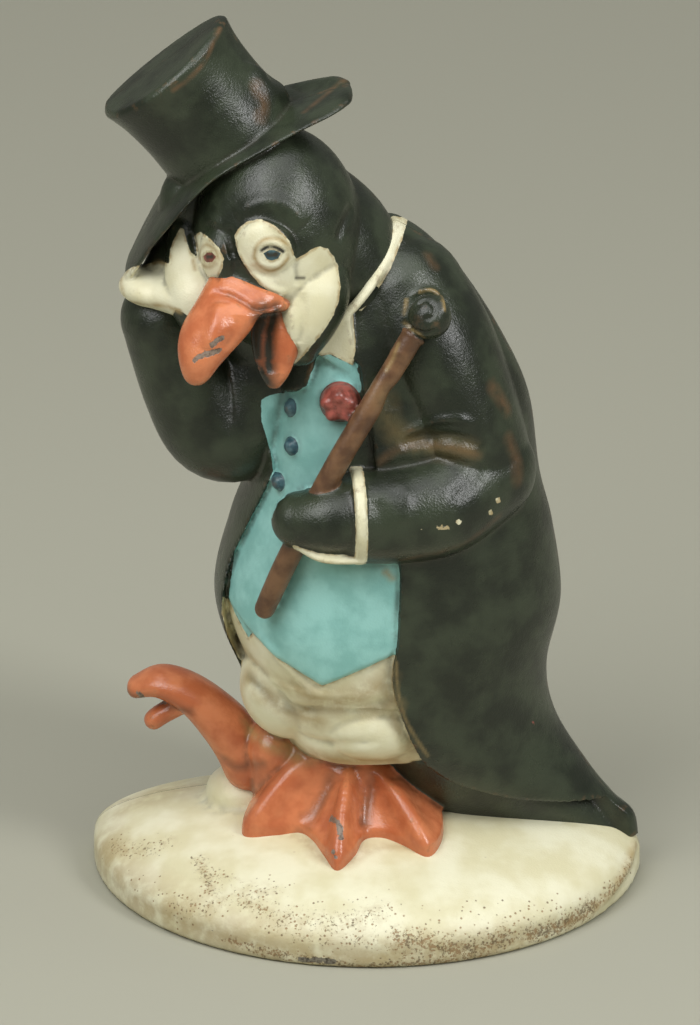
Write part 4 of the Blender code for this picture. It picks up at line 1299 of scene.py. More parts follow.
@dataclass
class Relief:
    """One run of the pattern maker's work: forms fused, softened and carved into one surface.

    Lengths are millimetres, except for the area_margin, which is pixels of the sight.
    """

    name: str
    voxel: float
    softening: int
    strokes: tuple[Stroke, ...] = ()
    areas: tuple[Area, ...] = ()
    marks: tuple[Mark, ...] = ()
    trees: dict[Paint, BVHTree] = field(default_factory=dict)
    mask_reach: float = 2.0
    stroke_taper: float = 0.18
    least_facing: float = 0.02
    area_margin: float = 8.0
    area_depth: float = 6.0
    least_edge_square: float = 0.04
    bend_passes: int = 6
    bend_gain: float = 4.0

    def fuse(self, forms: list[bpy.types.Object]) -> bpy.types.Object:
        """Fuses forms into one softened surface.

        Args:
            forms: The closed forms, which are used up.

        Returns:
            The object of the fused surface.
        """
        body = combine(forms[0], forms[1:], "UNION")
        self.keep_paints(body.data)
        remesh = body.modifiers.new("fuse", "REMESH")
        remesh.mode = "VOXEL"
        remesh.voxel_size = self.voxel
        soften = body.modifiers.new("soften", "SMOOTH")
        soften.factor = 0.5
        soften.iterations = self.softening
        baked(body)
        self.carve(body)
        return body

    def keep_paints(self, mesh: bpy.types.Mesh) -> None:
        """Keeps the joined forms' outer surface, one search tree to a paint."""
        points = [vert.co.copy() for vert in mesh.vertices]
        faces: dict[int, list[tuple[int, ...]]] = {}
        for polygon in mesh.polygons:
            faces.setdefault(polygon.material_index, []).append(tuple(polygon.vertices))
        for index, found in faces.items():
            self.trees[PAINTS[index]] = BVHTree.FromPolygons(points, found)

    def carve(self, body: bpy.types.Object) -> None:
        """Works every stroke into the surface."""
        if not self.strokes:
            return
        mesh = body.data
        points = vertex_array(mesh)
        normals = vertex_array(mesh, "normal")
        tree = BVHTree.FromObject(body, bpy.context.evaluated_depsgraph_get())
        moved = np.zeros(len(points))
        for stroke in self.strokes:
            line = seen_line(tree, stroke.points)
            if len(line) < 2:
                log.warning("a stroke of %s missed the surface", self.name)
                continue
            near = near_line(points, line, 3 * stroke.width)
            far, along = distance_to_line(points[near], line)
            to_end = np.minimum(along, 1.0 - along)
            taper = np.clip(to_end / self.stroke_taper, 0.0, 1.0) ** 0.5
            moved[near] += stroke.height * taper * np.exp(-((far / stroke.width) ** 2) * 2.0)
        points += normals * moved[:, None]
        mesh.vertices.foreach_set("co", points.astype(np.float32).ravel())
        mesh.update()

    def paint_masks(self, piece: bpy.types.Object) -> None:
        """Writes how deep each vertex lies inside each paint, in millimetres.

        Args:
            piece: The finished casting, still in millimetres.
        """
        mesh = piece.data
        points = vertex_array(mesh)
        reach = self.mask_reach
        far = {paint: np.full(len(points), reach) for paint in PAINTS}
        for paint, tree in self.trees.items():
            found = far[paint]
            for index, point in enumerate(points):
                near = tree.find_nearest(point, reach)
                if near[3] is not None:
                    found[index] = near[3]
        depth = {}
        for paint in PAINTS[:-1]:
            others = [far[other] for other in self.trees if other != paint]
            depth[paint] = np.min(others + [np.full(len(points), reach)], axis=0) - far[paint]
        self.paint_areas(piece, points, depth)
        for paint in COLOURS:
            write_attribute(mesh, paint.value, depth[paint])

    def paint_areas(
        self, piece: bpy.types.Object, points: np.ndarray, depth: dict[Paint, np.ndarray]
    ) -> None:
        """Paints the outlined areas over the masks.

        Args:
            piece: The casting that carries them.
            points: Its vertices.
            depth: The masks, which are changed.
        """
        if not self.areas:
            return
        tree = BVHTree.FromObject(piece, bpy.context.evaluated_depsgraph_get())
        normals = vertex_array(piece.data, "normal")
        facing = normals @ np.array(SIGHT.back) > self.least_facing
        toward = points @ np.array(SIGHT.back)
        flat = SIGHT.flat(points)
        for area in self.areas:
            outline = np.array(area.outline)
            spots = seen_line(tree, area.outline, smooth=False)
            if len(spots) == 0:
                continue
            lowest = (spots @ np.array(SIGHT.back)).min() - self.area_depth
            near = facing & (toward > lowest) & near_line(flat, outline, self.area_margin)
            if not near.any():
                continue
            edge, _ = distance_to_line(flat[near], np.vstack([outline, outline[:1]]))
            inside = inside_outline(flat[near], outline)
            signed = np.where(inside, edge, -edge) / SIGHT.scale
            for paint in area.spares:
                signed = np.minimum(signed, -depth[paint][near])
            for paint, values in depth.items():
                if paint == area.paint:
                    values[near] = np.maximum(values[near], signed)
                else:
                    values[near] = np.minimum(values[near], -signed)

    def wear(self, piece: bpy.types.Object) -> None:
        """Writes the ridges, the hollows and the spots of wear and painted shade as attributes.

        Args:
            piece: The finished casting, still in millimetres.
        """
        mesh = piece.data
        points = vertex_array(mesh)
        normals = vertex_array(mesh, "normal")
        pairs = edge_array(mesh)
        run = points[pairs[:, 0]] - points[pairs[:, 1]]
        bend = np.sum((normals[pairs[:, 0]] - normals[pairs[:, 1]]) * run, axis=1)
        bend /= np.maximum(np.sum(run * run, axis=1), self.least_edge_square)
        count = np.bincount(pairs.ravel(), minlength=len(points)).astype(float)
        count[count == 0] = 1.0
        curve = np.bincount(pairs.ravel(), weights=np.repeat(bend, 2), minlength=len(points))
        curve = curve / count
        for _ in range(self.bend_passes):
            total = np.bincount(pairs[:, 0], weights=curve[pairs[:, 1]], minlength=len(points))
            total += np.bincount(pairs[:, 1], weights=curve[pairs[:, 0]], minlength=len(points))
            curve = 0.5 * curve + 0.5 * total / count
        # Concave places make the hollow mask, along which the enamel paints shade and dirt.
        write_attribute(mesh, "ridge", np.clip(curve * self.bend_gain, 0.0, 1.0))
        write_attribute(mesh, "hollow", np.clip(-curve * self.bend_gain, 0.0, 1.0))
        tree = BVHTree.FromObject(piece, bpy.context.evaluated_depsgraph_get())
        for kind in Wear:
            values = np.zeros(len(points))
            for mark in self.marks:
                if mark.wear != kind:
                    continue
                line = seen_line(tree, mark.points)
                if len(line) == 0:
                    continue
                near = near_line(points, line, mark.radius)
                if len(line) > 1:
                    far, _ = distance_to_line(points[near], line)
                else:
                    far = np.linalg.norm(points[near] - line[0], axis=1)
                value = mark.strength * np.clip(1.0 - far / mark.radius, 0.0, 1.0)
                values[near] = np.maximum(values[near], value)
            write_attribute(mesh, kind.value, values)


def seen_line(tree: BVHTree, points: Sequence[tuple[float, float]], smooth: bool = True) -> np.ndarray:
    """Where sight pixels land on a surface.

    Args:
        tree: The surface.
        points: The sight pixels.
        smooth: Whether the line runs smoothly through them.

    Returns:
        The places in millimetres, one a row.
    """
    rows = smooth_rows(points, 4) if smooth and len(points) > 1 else points
    found = []
    for u, v in rows:
        start, direction = SIGHT.ray(u, v)
        hit = tree.ray_cast(start, direction)
        if hit[0] is not None:
            found.append(np.array(hit[0]))
    return np.array(found).reshape(-1, 3)


def write_attribute(mesh: bpy.types.Mesh, name: str, values: np.ndarray) -> None:
    """Stores one number a vertex under a name."""
    attribute = mesh.attributes.get(name) or mesh.attributes.new(name, "FLOAT", "POINT")
    attribute.data.foreach_set("value", values.astype(np.float32))


def hex_colour(code: str) -> tuple[float, float, float, float]:
    """Turns an sRGB hex code into a linear colour.

    Args:
        code: Six hex digits after a hash.

    Returns:
        Linear red, green and blue, and an alpha of 1.
    """
    values = []
    for start in (1, 3, 5):
        value = int(code[start : start + 2], 16) / 255
        values.append(value / 12.92 if value <= 0.04045 else ((value + 0.055) / 1.055) ** 2.4)
    return (*values, 1.0)


def per_mm(size: float) -> float:
    """The scale that gives a pattern of this size in millimetres on coordinates in metres."""
    return 1.0 / (size * MM)


@dataclass
class Finish:
    """A material under construction, with the kinds of node that the finishes are made of."""

    name: str
    material: bpy.types.Material = field(init=False)
    tree: bpy.types.NodeTree = field(init=False)
    place: Socket = field(init=False)

    def __post_init__(self) -> None:
        """Starts the material on the object's own coordinates."""
        self.material = bpy.data.materials.new(self.name)
        self.material.use_nodes = True
        self.tree = self.material.node_tree
        self.tree.nodes.clear()
        self.place = self.node("ShaderNodeTexCoord").outputs["Object"]

    def node(self, kind: str, links: dict[Any, Any] | None = None, **settings: Any) -> bpy.types.Node:
        """Adds a node with its settings and links.

        Args:
            kind: The node's type.
            links: What each input gets: an output socket to link, or a value to set.
            **settings: The node's own settings.

        Returns:
            The node.
        """
        made = self.tree.nodes.new(kind)
        for name, value in settings.items():
            setattr(made, name, value)
        for socket, value in (links or {}).items():
            if isinstance(value, Socket):
                self.tree.links.new(value, made.inputs[socket])
            else:
                made.inputs[socket].default_value = value
        return made

    def noise(self, size: float, detail: float = 3.0, rough: float = 0.55) -> Socket:
        """A noise of this size in millimetres."""
        inputs = {"Vector": self.place, "Scale": per_mm(size), "Detail": detail, "Roughness": rough}
        return self.node("ShaderNodeTexNoise", inputs).outputs["Fac"]

    def worked(self, kind: str, first: Any, second: Any) -> Socket:
        """Two numbers worked into one."""
        return self.node("ShaderNodeMath", {0: first, 1: second}, operation=kind).outputs[0]

    def plus(self, first: Any, second: Any) -> Socket:
        """The sum of two numbers."""
        return self.worked("ADD", first, second)

    def minus(self, first: Any, second: Any) -> Socket:
        """The first number less the second."""
        return self.worked("SUBTRACT", first, second)

    def times(self, first: Any, second: Any) -> Socket:
        """The product of two numbers."""
        return self.worked("MULTIPLY", first, second)

    def larger(self, first: Any, second: Any) -> Socket:
        """The larger of two numbers."""
        return self.worked("MAXIMUM", first, second)

    def ramp(self, value: Any, low: float, high: float) -> Socket:
        """A smooth step from low to high."""
        inputs = {"Value": value, "From Min": low, "From Max": high}
        made = self.node("ShaderNodeMapRange", inputs, interpolation_type="SMOOTHSTEP")
        return made.outputs["Result"]

    def attribute(self, name: str) -> Socket:
        """A number stored on the mesh."""
        return self.node("ShaderNodeAttribute", attribute_name=name).outputs["Fac"]

    def blend(self, factor: Any, first: Any, second: Any) -> Socket:
        """One colour laid over another."""
        inputs = {0: factor, 6: first, 7: second}
        made = self.node("ShaderNodeMix", inputs, data_type="RGBA", clamp_factor=True)
        return made.outputs[2]

    def surface(
        self, height: Socket, strength: float, depth: float, looks: dict[str, Any]
    ) -> bpy.types.Material:
        """Ends the material in one shader.

        Args:
            height: The surface's fine relief.
            strength: How strongly the relief shows.
            depth: The relief's depth in metres.
            looks: What the shader's other inputs get.

        Returns:
            The material.
        """
        inputs = {"Height": height, "Strength": strength, "Distance": depth}
        normal = self.node("ShaderNodeBump", inputs).outputs["Normal"]
        shader = self.node("ShaderNodeBsdfPrincipled", {**looks, "Normal": normal})
        self.node("ShaderNodeOutputMaterial", {"Surface": shader.outputs["BSDF"]})
        return self.material


@dataclass(frozen=True)
class Enamel:
    """One brushed enamel: two tones that run into each other, its gloss, and how much grain shows."""

    light: str
    dark: str
    patch: float
    roughness: float
    grain: float


ENAMELS: dict[Paint, Enamel] = {
    Paint.BLACK: Enamel("#363e2e", "#20261b", 12.0, 0.30, 1.0),
    Paint.CREAM: Enamel("#e9e6c8", "#dad4ae", 14.0, 0.46, 0.7),
    Paint.ORANGE: Enamel("#d58357", "#bd6a43", 8.0, 0.21, 0.65),
    Paint.BLUE: Enamel("#9dd4cd", "#86bfb8", 9.0, 0.46, 0.6),
    Paint.RED: Enamel("#a4584c", "#6e3a30", 3.0, 0.30, 0.6),
    Paint.BROWN: Enamel("#7a5a3e", "#5a3f2b", 6.0, 0.36, 0.7),
    Paint.NAVY: Enamel("#5c7f86", "#33525c", 2.5, 0.32, 0.5),
}


@dataclass(frozen=True)
class EnamelledIron:
    """Brushed enamel over sand-cast grey iron.

    Grains of moulding sand leave the iron rough at about half a millimetre, and the enamel fills
    that only partly, so highlights break into specks. Ridges are rubbed through to a brown primer,
    dirt settles along the edges of the pale paints, the hollows are darkened with painted shade and
    dirt, chips show the grey iron and rust comes up in fine pits.
    """

    name: str = "brushed_enamel_on_cast_iron"
    grain: float = 0.55
    wobble: float = 0.35
    primer: str = "#75573b"
    # Tan of dirt, which the tan marks also lay into creases as painted shade.
    dirt: str = "#a8905f"
    # Dark olive brown of dirt, and of painted shade in hollows and creases.
    grime: str = "#35332a"
    iron: str = "#827c70"
    rust: str = "#94734a"
    dark_rust: str = "#665236"

    def build(self, base: Paint, pitted: bool = False) -> bpy.types.Material:
        """Makes the material.

        Args:
            base: The paint under all masks.
            pitted: Whether fine rust pits are scattered all over, as on the mound.

        Returns:
            The material.
        """
        work = Finish(self.name + ("_pitted" if pitted else ""))
        noise, ramp, attribute, blend = work.noise, work.ramp, work.attribute, work.blend
        plus, minus, times, larger = work.plus, work.minus, work.times, work.larger

        def worn(kind: Wear, spread: Socket, share: float) -> Socket:
            """One kind of wear, broken up by a pattern, at a share of full cover."""
            return times(times(attribute(kind.value), spread), share)

        # The brushed edges waver, and each enamel runs between two tones of its own.
        edge_noise = times(minus(noise(1.8, 2.0), 0.5), self.wobble * 2)
        under = ENAMELS[base]
        colour = blend(ramp(noise(under.patch), 0.35, 0.65), hex_colour(under.dark), hex_colour(under.light))
        roughness: Any = under.roughness
        grain: Any = under.grain
        relief: Any = 0.0
        for paint in COLOURS:
            if paint == base:
                continue
            enamel = ENAMELS[paint]
            depth = plus(attribute(paint.value), edge_noise)
            mask = ramp(depth, -0.1, 0.1)
            patches = ramp(noise(enamel.patch), 0.35, 0.65)
            tone = blend(patches, hex_colour(enamel.dark), hex_colour(enamel.light))
            if paint == Paint.CREAM:
                fringe = times(ramp(depth, 1.0, 0.15), ramp(noise(2.6, 4.0), 0.36, 0.6))
                tone = blend(times(fringe, 0.75), tone, hex_colour(self.dirt))
            colour = blend(mask, colour, tone)
            roughness = plus(roughness, times(mask, enamel.roughness - under.roughness))
            grain = plus(grain, times(mask, enamel.grain - under.grain))
            relief = plus(relief, times(mask, 0.2))
        # Painted shade and dirt in hollows, tan marks of dirt and painted shade, primer on rubbed ridges.
        soft = ramp(noise(4.5, 3.0), 0.2, 0.62)
        fine = noise(0.9, 5.0, 0.7)
        hollow = times(attribute("hollow"), ramp(noise(5.0, 4.0), 0.35, 0.6))
        colour = blend(times(hollow, 0.5), colour, hex_colour(self.grime))
        colour = blend(worn(Wear.SOIL, soft, 1.0), colour, hex_colour(self.dirt))
        ridge = times(ramp(attribute("ridge"), 0.45, 1.1), ramp(noise(4.0, 5.0, 0.65), 0.52, 0.7))
        rub = larger(times(ridge, 0.5), worn(Wear.RUB, soft, 0.8))
        colour = blend(rub, colour, hex_colour(self.primer))
        # Dark marks: painted lids, pupils and nostril, and painted shade in the beak, under the brim and in folds.
        colour = blend(worn(Wear.GRIME, ramp(noise(4.0, 3.0), 0.1, 0.5), 1.0), colour, hex_colour(self.grime))
        # Rust: clusters of fine pits, with a brown wash round them.
        zone = larger(attribute(Wear.RUST.value), 0.02 if pitted else 0.0)
        rust = ramp(plus(times(zone, 0.22), fine), 0.67, 0.75)
        rust = times(rust, ramp(zone, 0.15, 0.4))
        cells = work.node("ShaderNodeTexVoronoi", {"Vector": work.place, "Scale": per_mm(1.15)})
        chance = work.node("ShaderNodeSeparateColor", {0: cells.outputs["Color"]}).outputs[0]
        off = plus(cells.outputs["Distance"], times(minus(fine, 0.5), 0.5))
        pits = times(ramp(off, 0.34, 0.2), ramp(minus(zone, chance), 0.0, 0.06))
        rust = larger(rust, pits)
        wash = times(ramp(zone, 0.1, 0.8), ramp(noise(2.6, 4.0), 0.4, 0.66))
        colour = blend(times(wash, 0.42), colour, hex_colour(self.dirt))
        rust_tone = blend(ramp(noise(2.2, 3.0), 0.45, 0.6), hex_colour(self.rust), hex_colour(self.dark_rust))
        colour = blend(times(rust, 0.8), colour, rust_tone)
        # Chips with ragged edges, down to the grey iron.
        ragged = times(minus(noise(1.7, 4.0, 0.6), 0.5), 1.1)
        chip = ramp(plus(attribute(Wear.CHIP.value), ragged), 0.44, 0.52)
        chip_tone = blend(ramp(fine, 0.42, 0.7), hex_colour(self.iron), hex_colour(self.grime))
        colour = blend(times(chip, 0.9), colour, chip_tone)
        roughness = plus(roughness, times(plus(chip, rust), 0.25))
        roughness = plus(roughness, times(minus(noise(7.0), 0.5), 0.2))
        # Moulding sand and brush marks under the gloss, broken open by chips and rust.
        sand = plus(noise(self.grain, 2.0, 0.6), times(noise(2.4, 2.0), 0.9))
        height = plus(times(sand, grain), relief)
        height = minus(height, times(plus(chip, rust), 0.5))
        looks = {"Base Color": colour, "Roughness": roughness, "IOR": 1.52, "Specular IOR Level": 0.5}
        return work.surface(height, 0.75, 0.00016, looks)


@dataclass(frozen=True)
class BareIron:
    """Unpainted sand-cast grey iron inside the castings: dark, dull and rough, browned by damp."""

    name: str = "sand_cast_grey_iron"
    light: str = "#5a4f45"
    dark: str = "#33302c"

    def build(self) -> bpy.types.Material:
        """Makes the material."""
        work = Finish(self.name)
        patches = work.noise(8.0, 5.0, 0.65)
        colour = work.blend(patches, hex_colour(self.dark), hex_colour(self.light))
        looks = {"Base Color": colour, "Roughness": 0.8, "Metallic": 0.35}
        return work.surface(work.noise(1.1, 4.0, 0.7), 0.8, 0.0004, looks)


@dataclass(frozen=True)
class PlatedSteel:
    """Dull zinc-plated steel of the screws: turned, faintly ringed, with a grey bloom."""

    name: str = "dull_zinc_plated_steel"
    light: str = "#a5a29a"
    dark: str = "#74716b"

    def build(self) -> bpy.types.Material:
        """Makes the material."""
        work = Finish(self.name)
        bloom = work.noise(1.5, 4.0, 0.6)
        colour = work.blend(bloom, hex_colour(self.dark), hex_colour(self.light))
        spread = {"Value": bloom, "To Min": 0.32, "To Max": 0.55}
        roughness = work.node("ShaderNodeMapRange", spread).outputs["Result"]
        looks = {"Base Color": colour, "Roughness": roughness, "Metallic": 1.0}
        return work.surface(bloom, 0.3, 0.0001, looks)


# Worked into hat and head: brows and lids, the beak's parting line and edges, the brim's ends.
FACE_STROKES: tuple[Stroke, ...] = (
    Stroke(((238, 220), (252, 210), (270, 206), (290, 212), (305, 228)), 3.2, 0.9),
    Stroke(((200, 224), (212, 222), (224, 230)), 2.4, 0.6),
    Stroke(((230, 232), (232, 248), (234, 262)), 2.0, -0.7),
    Stroke(((352, 210), (344, 228), (337, 246)), 2.2, -0.9),
    Stroke(
        ((237, 248), (240, 236), (250, 227), (262, 225), (275, 231), (286, 241), (293, 254)), 1.3, 0.5
    ),
    Stroke(((238, 252), (247, 266), (258, 279), (272, 289), (290, 295)), 1.3, 0.4),
    Stroke(((256, 254), (264, 247), (276, 246), (288, 252)), 1.2, 0.4),
    Stroke(((258, 262), (266, 268), (279, 269), (289, 262)), 1.3, 0.35),
    Stroke(((254, 268), (264, 278), (280, 281)), 1.5, -0.3),
    Stroke(((262, 253), (271, 251), (284, 254)), 0.8, -0.4),
    Stroke(((256, 70), (262, 85), (271, 94), (284, 96)), 5.0, 1.7),
    Stroke(((284, 96), (304, 90), (324, 86), (346, 87)), 5.0, 1.7),
    Stroke(((203, 240), (212, 243), (222, 254)), 1.1, 0.35),
    Stroke(((194, 236), (196, 248), (198, 260)), 1.2, -1.0),
    Stroke(((298, 262), (297, 272), (299, 288)), 1.6, -0.5),
    Stroke(((303, 296), (304, 320), (300, 345)), 2.0, -0.5),
    Stroke(((213, 294), (230, 296), (244, 303), (262, 312), (284, 306)), 1.5, -1.3),
    Stroke(((222, 280), (240, 284), (260, 295), (285, 301)), 2.6, 1.1),
    Stroke(((222, 306), (217, 330), (212, 352)), 3.2, 1.0),
    Stroke(((240, 318), (236, 335), (226, 352)), 2.6, -0.5),
    Stroke(((266, 316), (267, 345), (271, 376)), 4.2, -1.6),
    Stroke(((291, 310), (293, 338), (289, 366)), 2.0, 0.5),
)

# Folds of sleeves, coat and trousers, and the ridges and valleys of the web.
DRESS_STROKES: tuple[Stroke, ...] = (
    Stroke(((398, 438), (414, 429), (436, 421), (458, 420), (474, 427)), 2.0, 0.9),
    Stroke(((400, 446), (424, 440), (450, 438), (482, 446)), 2.4, -1.1),
    Stroke(((372, 462), (402, 452), (436, 449), (476, 456)), 3.6, 0.8),
    Stroke(((376, 500), (384, 524), (382, 548)), 3.4, -0.5),
    Stroke(((398, 480), (406, 500), (404, 524)), 3.0, 0.4),
    Stroke(((478, 462), (470, 482), (452, 500)), 3.0, -0.45),
    Stroke(((396, 356), (389, 385), (392, 412)), 4.5, -0.9),
    Stroke(((236, 668), (262, 690), (290, 708), (316, 716)), 3.4, -1.2),
    Stroke(((258, 632), (280, 658), (305, 684), (324, 696)), 2.0, 0.6),
    Stroke(((300, 712), (330, 708), (365, 708), (394, 700)), 3.2, -1.0),
    Stroke(((300, 735), (318, 742), (345, 744), (380, 742)), 2.4, -0.6),
    Stroke(((310, 826), (322, 800), (334, 774)), 3.2, -1.0),
    Stroke(((364, 832), (368, 804), (374, 776)), 3.0, -1.0),
    Stroke(((335, 855), (340, 820), (348, 780)), 4.6, 0.9),
    Stroke(((430, 846), (412, 812), (396, 780)), 4.6, 0.8),
    Stroke(((250, 826), (275, 792), (306, 762)), 4.6, 0.8),
)

# The curl of the cane's knob.
KNOB_STROKES: tuple[Stroke, ...] = (
    Stroke(((403, 331), (412, 338), (422, 345)), 1.0, 0.7),
    Stroke(((404, 322), (412, 331), (424, 336), (438, 331)), 1.0, -0.9),
    Stroke(((410, 300), (420, 293), (433, 294), (441, 304), (443, 318)), 1.1, 0.8),
    Stroke(((414, 309), (424, 302), (433, 308), (432, 319), (423, 322)), 0.9, -0.9),
)

# Low swells of the mound.
BASE_STROKES: tuple[Stroke, ...] = (
    Stroke(((637, 838), (632, 862), (617, 888), (600, 906), (582, 920)), 1.6, 0.6),
    Stroke(((640, 850), (634, 872), (620, 896), (604, 914)), 1.6, -0.5),
    Stroke(((120, 850), (160, 866), (200, 880), (240, 896)), 5.0, -0.4),
)

# Painted on the head: the pale face, the raised palm and the eyes' dots.
FACE_AREAS: tuple[Area, ...] = (
    Area(
        Paint.CREAM,
        (
            (236, 240), (241, 231), (250, 225), (262, 223), (275, 229), (286, 239), (292, 248), (295, 258),
            (297, 262), (305, 258), (312, 253), (321, 250), (328, 252), (334, 260), (338, 268), (341, 290),
            (339, 304), (334, 318), (325, 332), (315, 345), (305, 357), (296, 366), (286, 362), (281, 345),
            (280, 320), (284, 308), (284, 299), (272, 295), (262, 288), (252, 277), (243, 264), (238, 250),
        ),
        (Paint.ORANGE,),
    ),
    Area(
        Paint.CREAM,
        (
            (124, 276), (133, 270), (145, 267), (160, 263), (171, 266), (172, 252), (176, 242), (182, 230),
            (186, 232), (188, 243), (193, 255), (199, 260), (198, 250), (196, 239), (201, 235), (207, 238),
            (214, 244), (222, 253), (226, 262), (224, 272), (218, 284), (208, 292), (203, 302), (196, 312),
            (190, 318), (183, 314), (170, 309), (160, 305), (140, 303), (131, 297), (126, 288),
        ),
        (Paint.ORANGE,),
    ),
    Area(
        Paint.NAVY, ((265, 257), (270, 254), (276, 254), (282, 257), (279, 262), (273, 264), (268, 262))
    ),
    Area(Paint.RED, ((205, 260), (209, 256), (214, 256), (218, 260), (214, 265), (208, 265))),
)

# Painted on the dress: collar, waistcoat, the black beside it, and small splashes.
DRESS_AREAS: tuple[Area, ...] = (
    Area(
        Paint.CREAM,
        (
            (408, 219), (402, 242), (390, 272), (374, 298), (361, 314), (352, 306), (363, 292), (377, 267),
            (388, 244), (395, 219),
        ),
    ),
    Area(
        Paint.BLUE,
        (
            (262, 401), (270, 396), (280, 394), (297, 393), (307, 387), (314, 369), (317, 358), (331, 356),
            (357, 369), (362, 385), (356, 410), (345, 440), (333, 468), (318, 480), (295, 488), (278, 504),
            (270, 525), (272, 545), (280, 556), (305, 562), (340, 566), (372, 570), (398, 575), (396, 610),
            (390, 648), (375, 652), (345, 672), (322, 684), (306, 672), (290, 655), (262, 623), (248, 638),
            (236, 620), (229, 598), (235, 552), (250, 521), (266, 491), (274, 470), (271, 450), (262, 421),
        ),
        (Paint.RED, Paint.NAVY, Paint.BROWN),
    ),
    Area(
        Paint.BLACK,
        (
            (262, 421), (271, 450), (274, 470), (266, 491), (250, 521), (235, 552), (229, 598), (214, 596),
            (214, 545), (234, 500), (254, 470), (258, 448), (250, 425),
        ),
    ),
    Area(
        Paint.BLACK,
        (
            (357, 369), (362, 385), (356, 410), (345, 440), (333, 468), (326, 480), (350, 478), (390, 462),
            (400, 420), (388, 380), (366, 360),
        ),
        (Paint.BROWN, Paint.CREAM, Paint.RED),
    ),
    Area(
        Paint.CREAM,
        (
            (223, 596), (230, 600), (237, 616), (246, 632), (255, 649), (256, 664), (249, 669), (238, 657),
            (228, 636), (222, 614),
        ),
        (Paint.BROWN,),
    ),
    Area(
        Paint.BLACK,
        ((432, 766), (441, 790), (447, 818), (480, 826), (560, 826), (548, 812), (505, 800), (470, 782), (446, 764)),
        (Paint.ORANGE, Paint.CREAM),
    ),
    Area(Paint.CREAM, ((419, 529), (422, 528), (423, 531))),
    Area(
        Paint.CREAM, ((435, 525), (439, 527), (441, 524), (443, 528), (447, 525), (449, 529), (437, 530))
    ),
    Area(Paint.CREAM, ((454, 521), (458, 519), (461, 522), (458, 525))),
    Area(Paint.CREAM, ((487, 511), (491, 509), (492, 514), (488, 515))),
    Area(Paint.CREAM, ((495, 499), (499, 497), (500, 502), (496, 504))),
    Area(Paint.RED, ((531, 722), (534, 721), (535, 725))),
)

# Wear of hat, face and beak, dark painted lids, pupils and nostril, painted shade in bill and under brim.
FACE_MARKS: tuple[Mark, ...] = (
    Mark(
        Wear.SOIL, ((256, 262), (258, 250), (267, 243), (280, 243), (289, 250), (289, 262)), 1.0, 1.0
    ),
    Mark(Wear.SOIL, ((289, 262), (281, 271), (270, 274), (260, 268), (256, 260)), 1.2, 1.0),
    Mark(Wear.GRIME, ((263, 254), (269, 251), (277, 251), (284, 255)), 0.8, 1.6),
    Mark(Wear.GRIME, ((270, 258), (277, 258)), 1.1, 1.8),
    Mark(Wear.GRIME, ((209, 260), (214, 260)), 1.0, 1.2),
    Mark(Wear.SOIL, ((202, 262), (203, 252), (209, 248), (217, 254), (220, 262)), 1.0, 0.9),
    Mark(Wear.SOIL, ((204, 268), (211, 270), (218, 266)), 1.0, 0.9),
    Mark(Wear.SOIL, ((155, 266), (161, 264), (168, 267)), 0.9, 0.9),
    Mark(Wear.SOIL, ((195, 263), (197, 272)), 0.9, 0.9),
    Mark(Wear.SOIL, ((130, 303), (150, 307), (166, 308), (182, 314)), 1.3, 0.9),
    Mark(Wear.SOIL, ((124, 275), (123, 286), (126, 296)), 1.4, 0.7),
    Mark(Wear.GRIME, ((297, 281), (305, 281)), 0.7, 0.9),
    # Painted shade inside the open lower bill.
    Mark(Wear.GRIME, ((264, 316), (257, 340), (258, 366), (266, 382)), 4.6, 1.3),
    Mark(Wear.GRIME, ((276, 314), (270, 340), (270, 372)), 3.4, 1.2),
    Mark(Wear.CHIP, ((214, 347), (224, 341)), 1.5, 0.9),
    Mark(Wear.CHIP, ((197, 362), (205, 357), (213, 356), (221, 352)), 1.7, 0.85),
    Mark(Wear.RUB, ((258, 92), (264, 108), (262, 122)), 3.0, 0.7),
    Mark(Wear.RUB, ((222, 34), (213, 55), (205, 70), (190, 86), (176, 96)), 1.1, 0.8),
    Mark(Wear.RUB, ((345, 84), (330, 96), (306, 116)), 1.6, 0.6),
    # Painted shade under the brim, above the raised palm.
    Mark(Wear.GRIME, ((152, 244), (158, 262)), 2.6, 0.8),
)
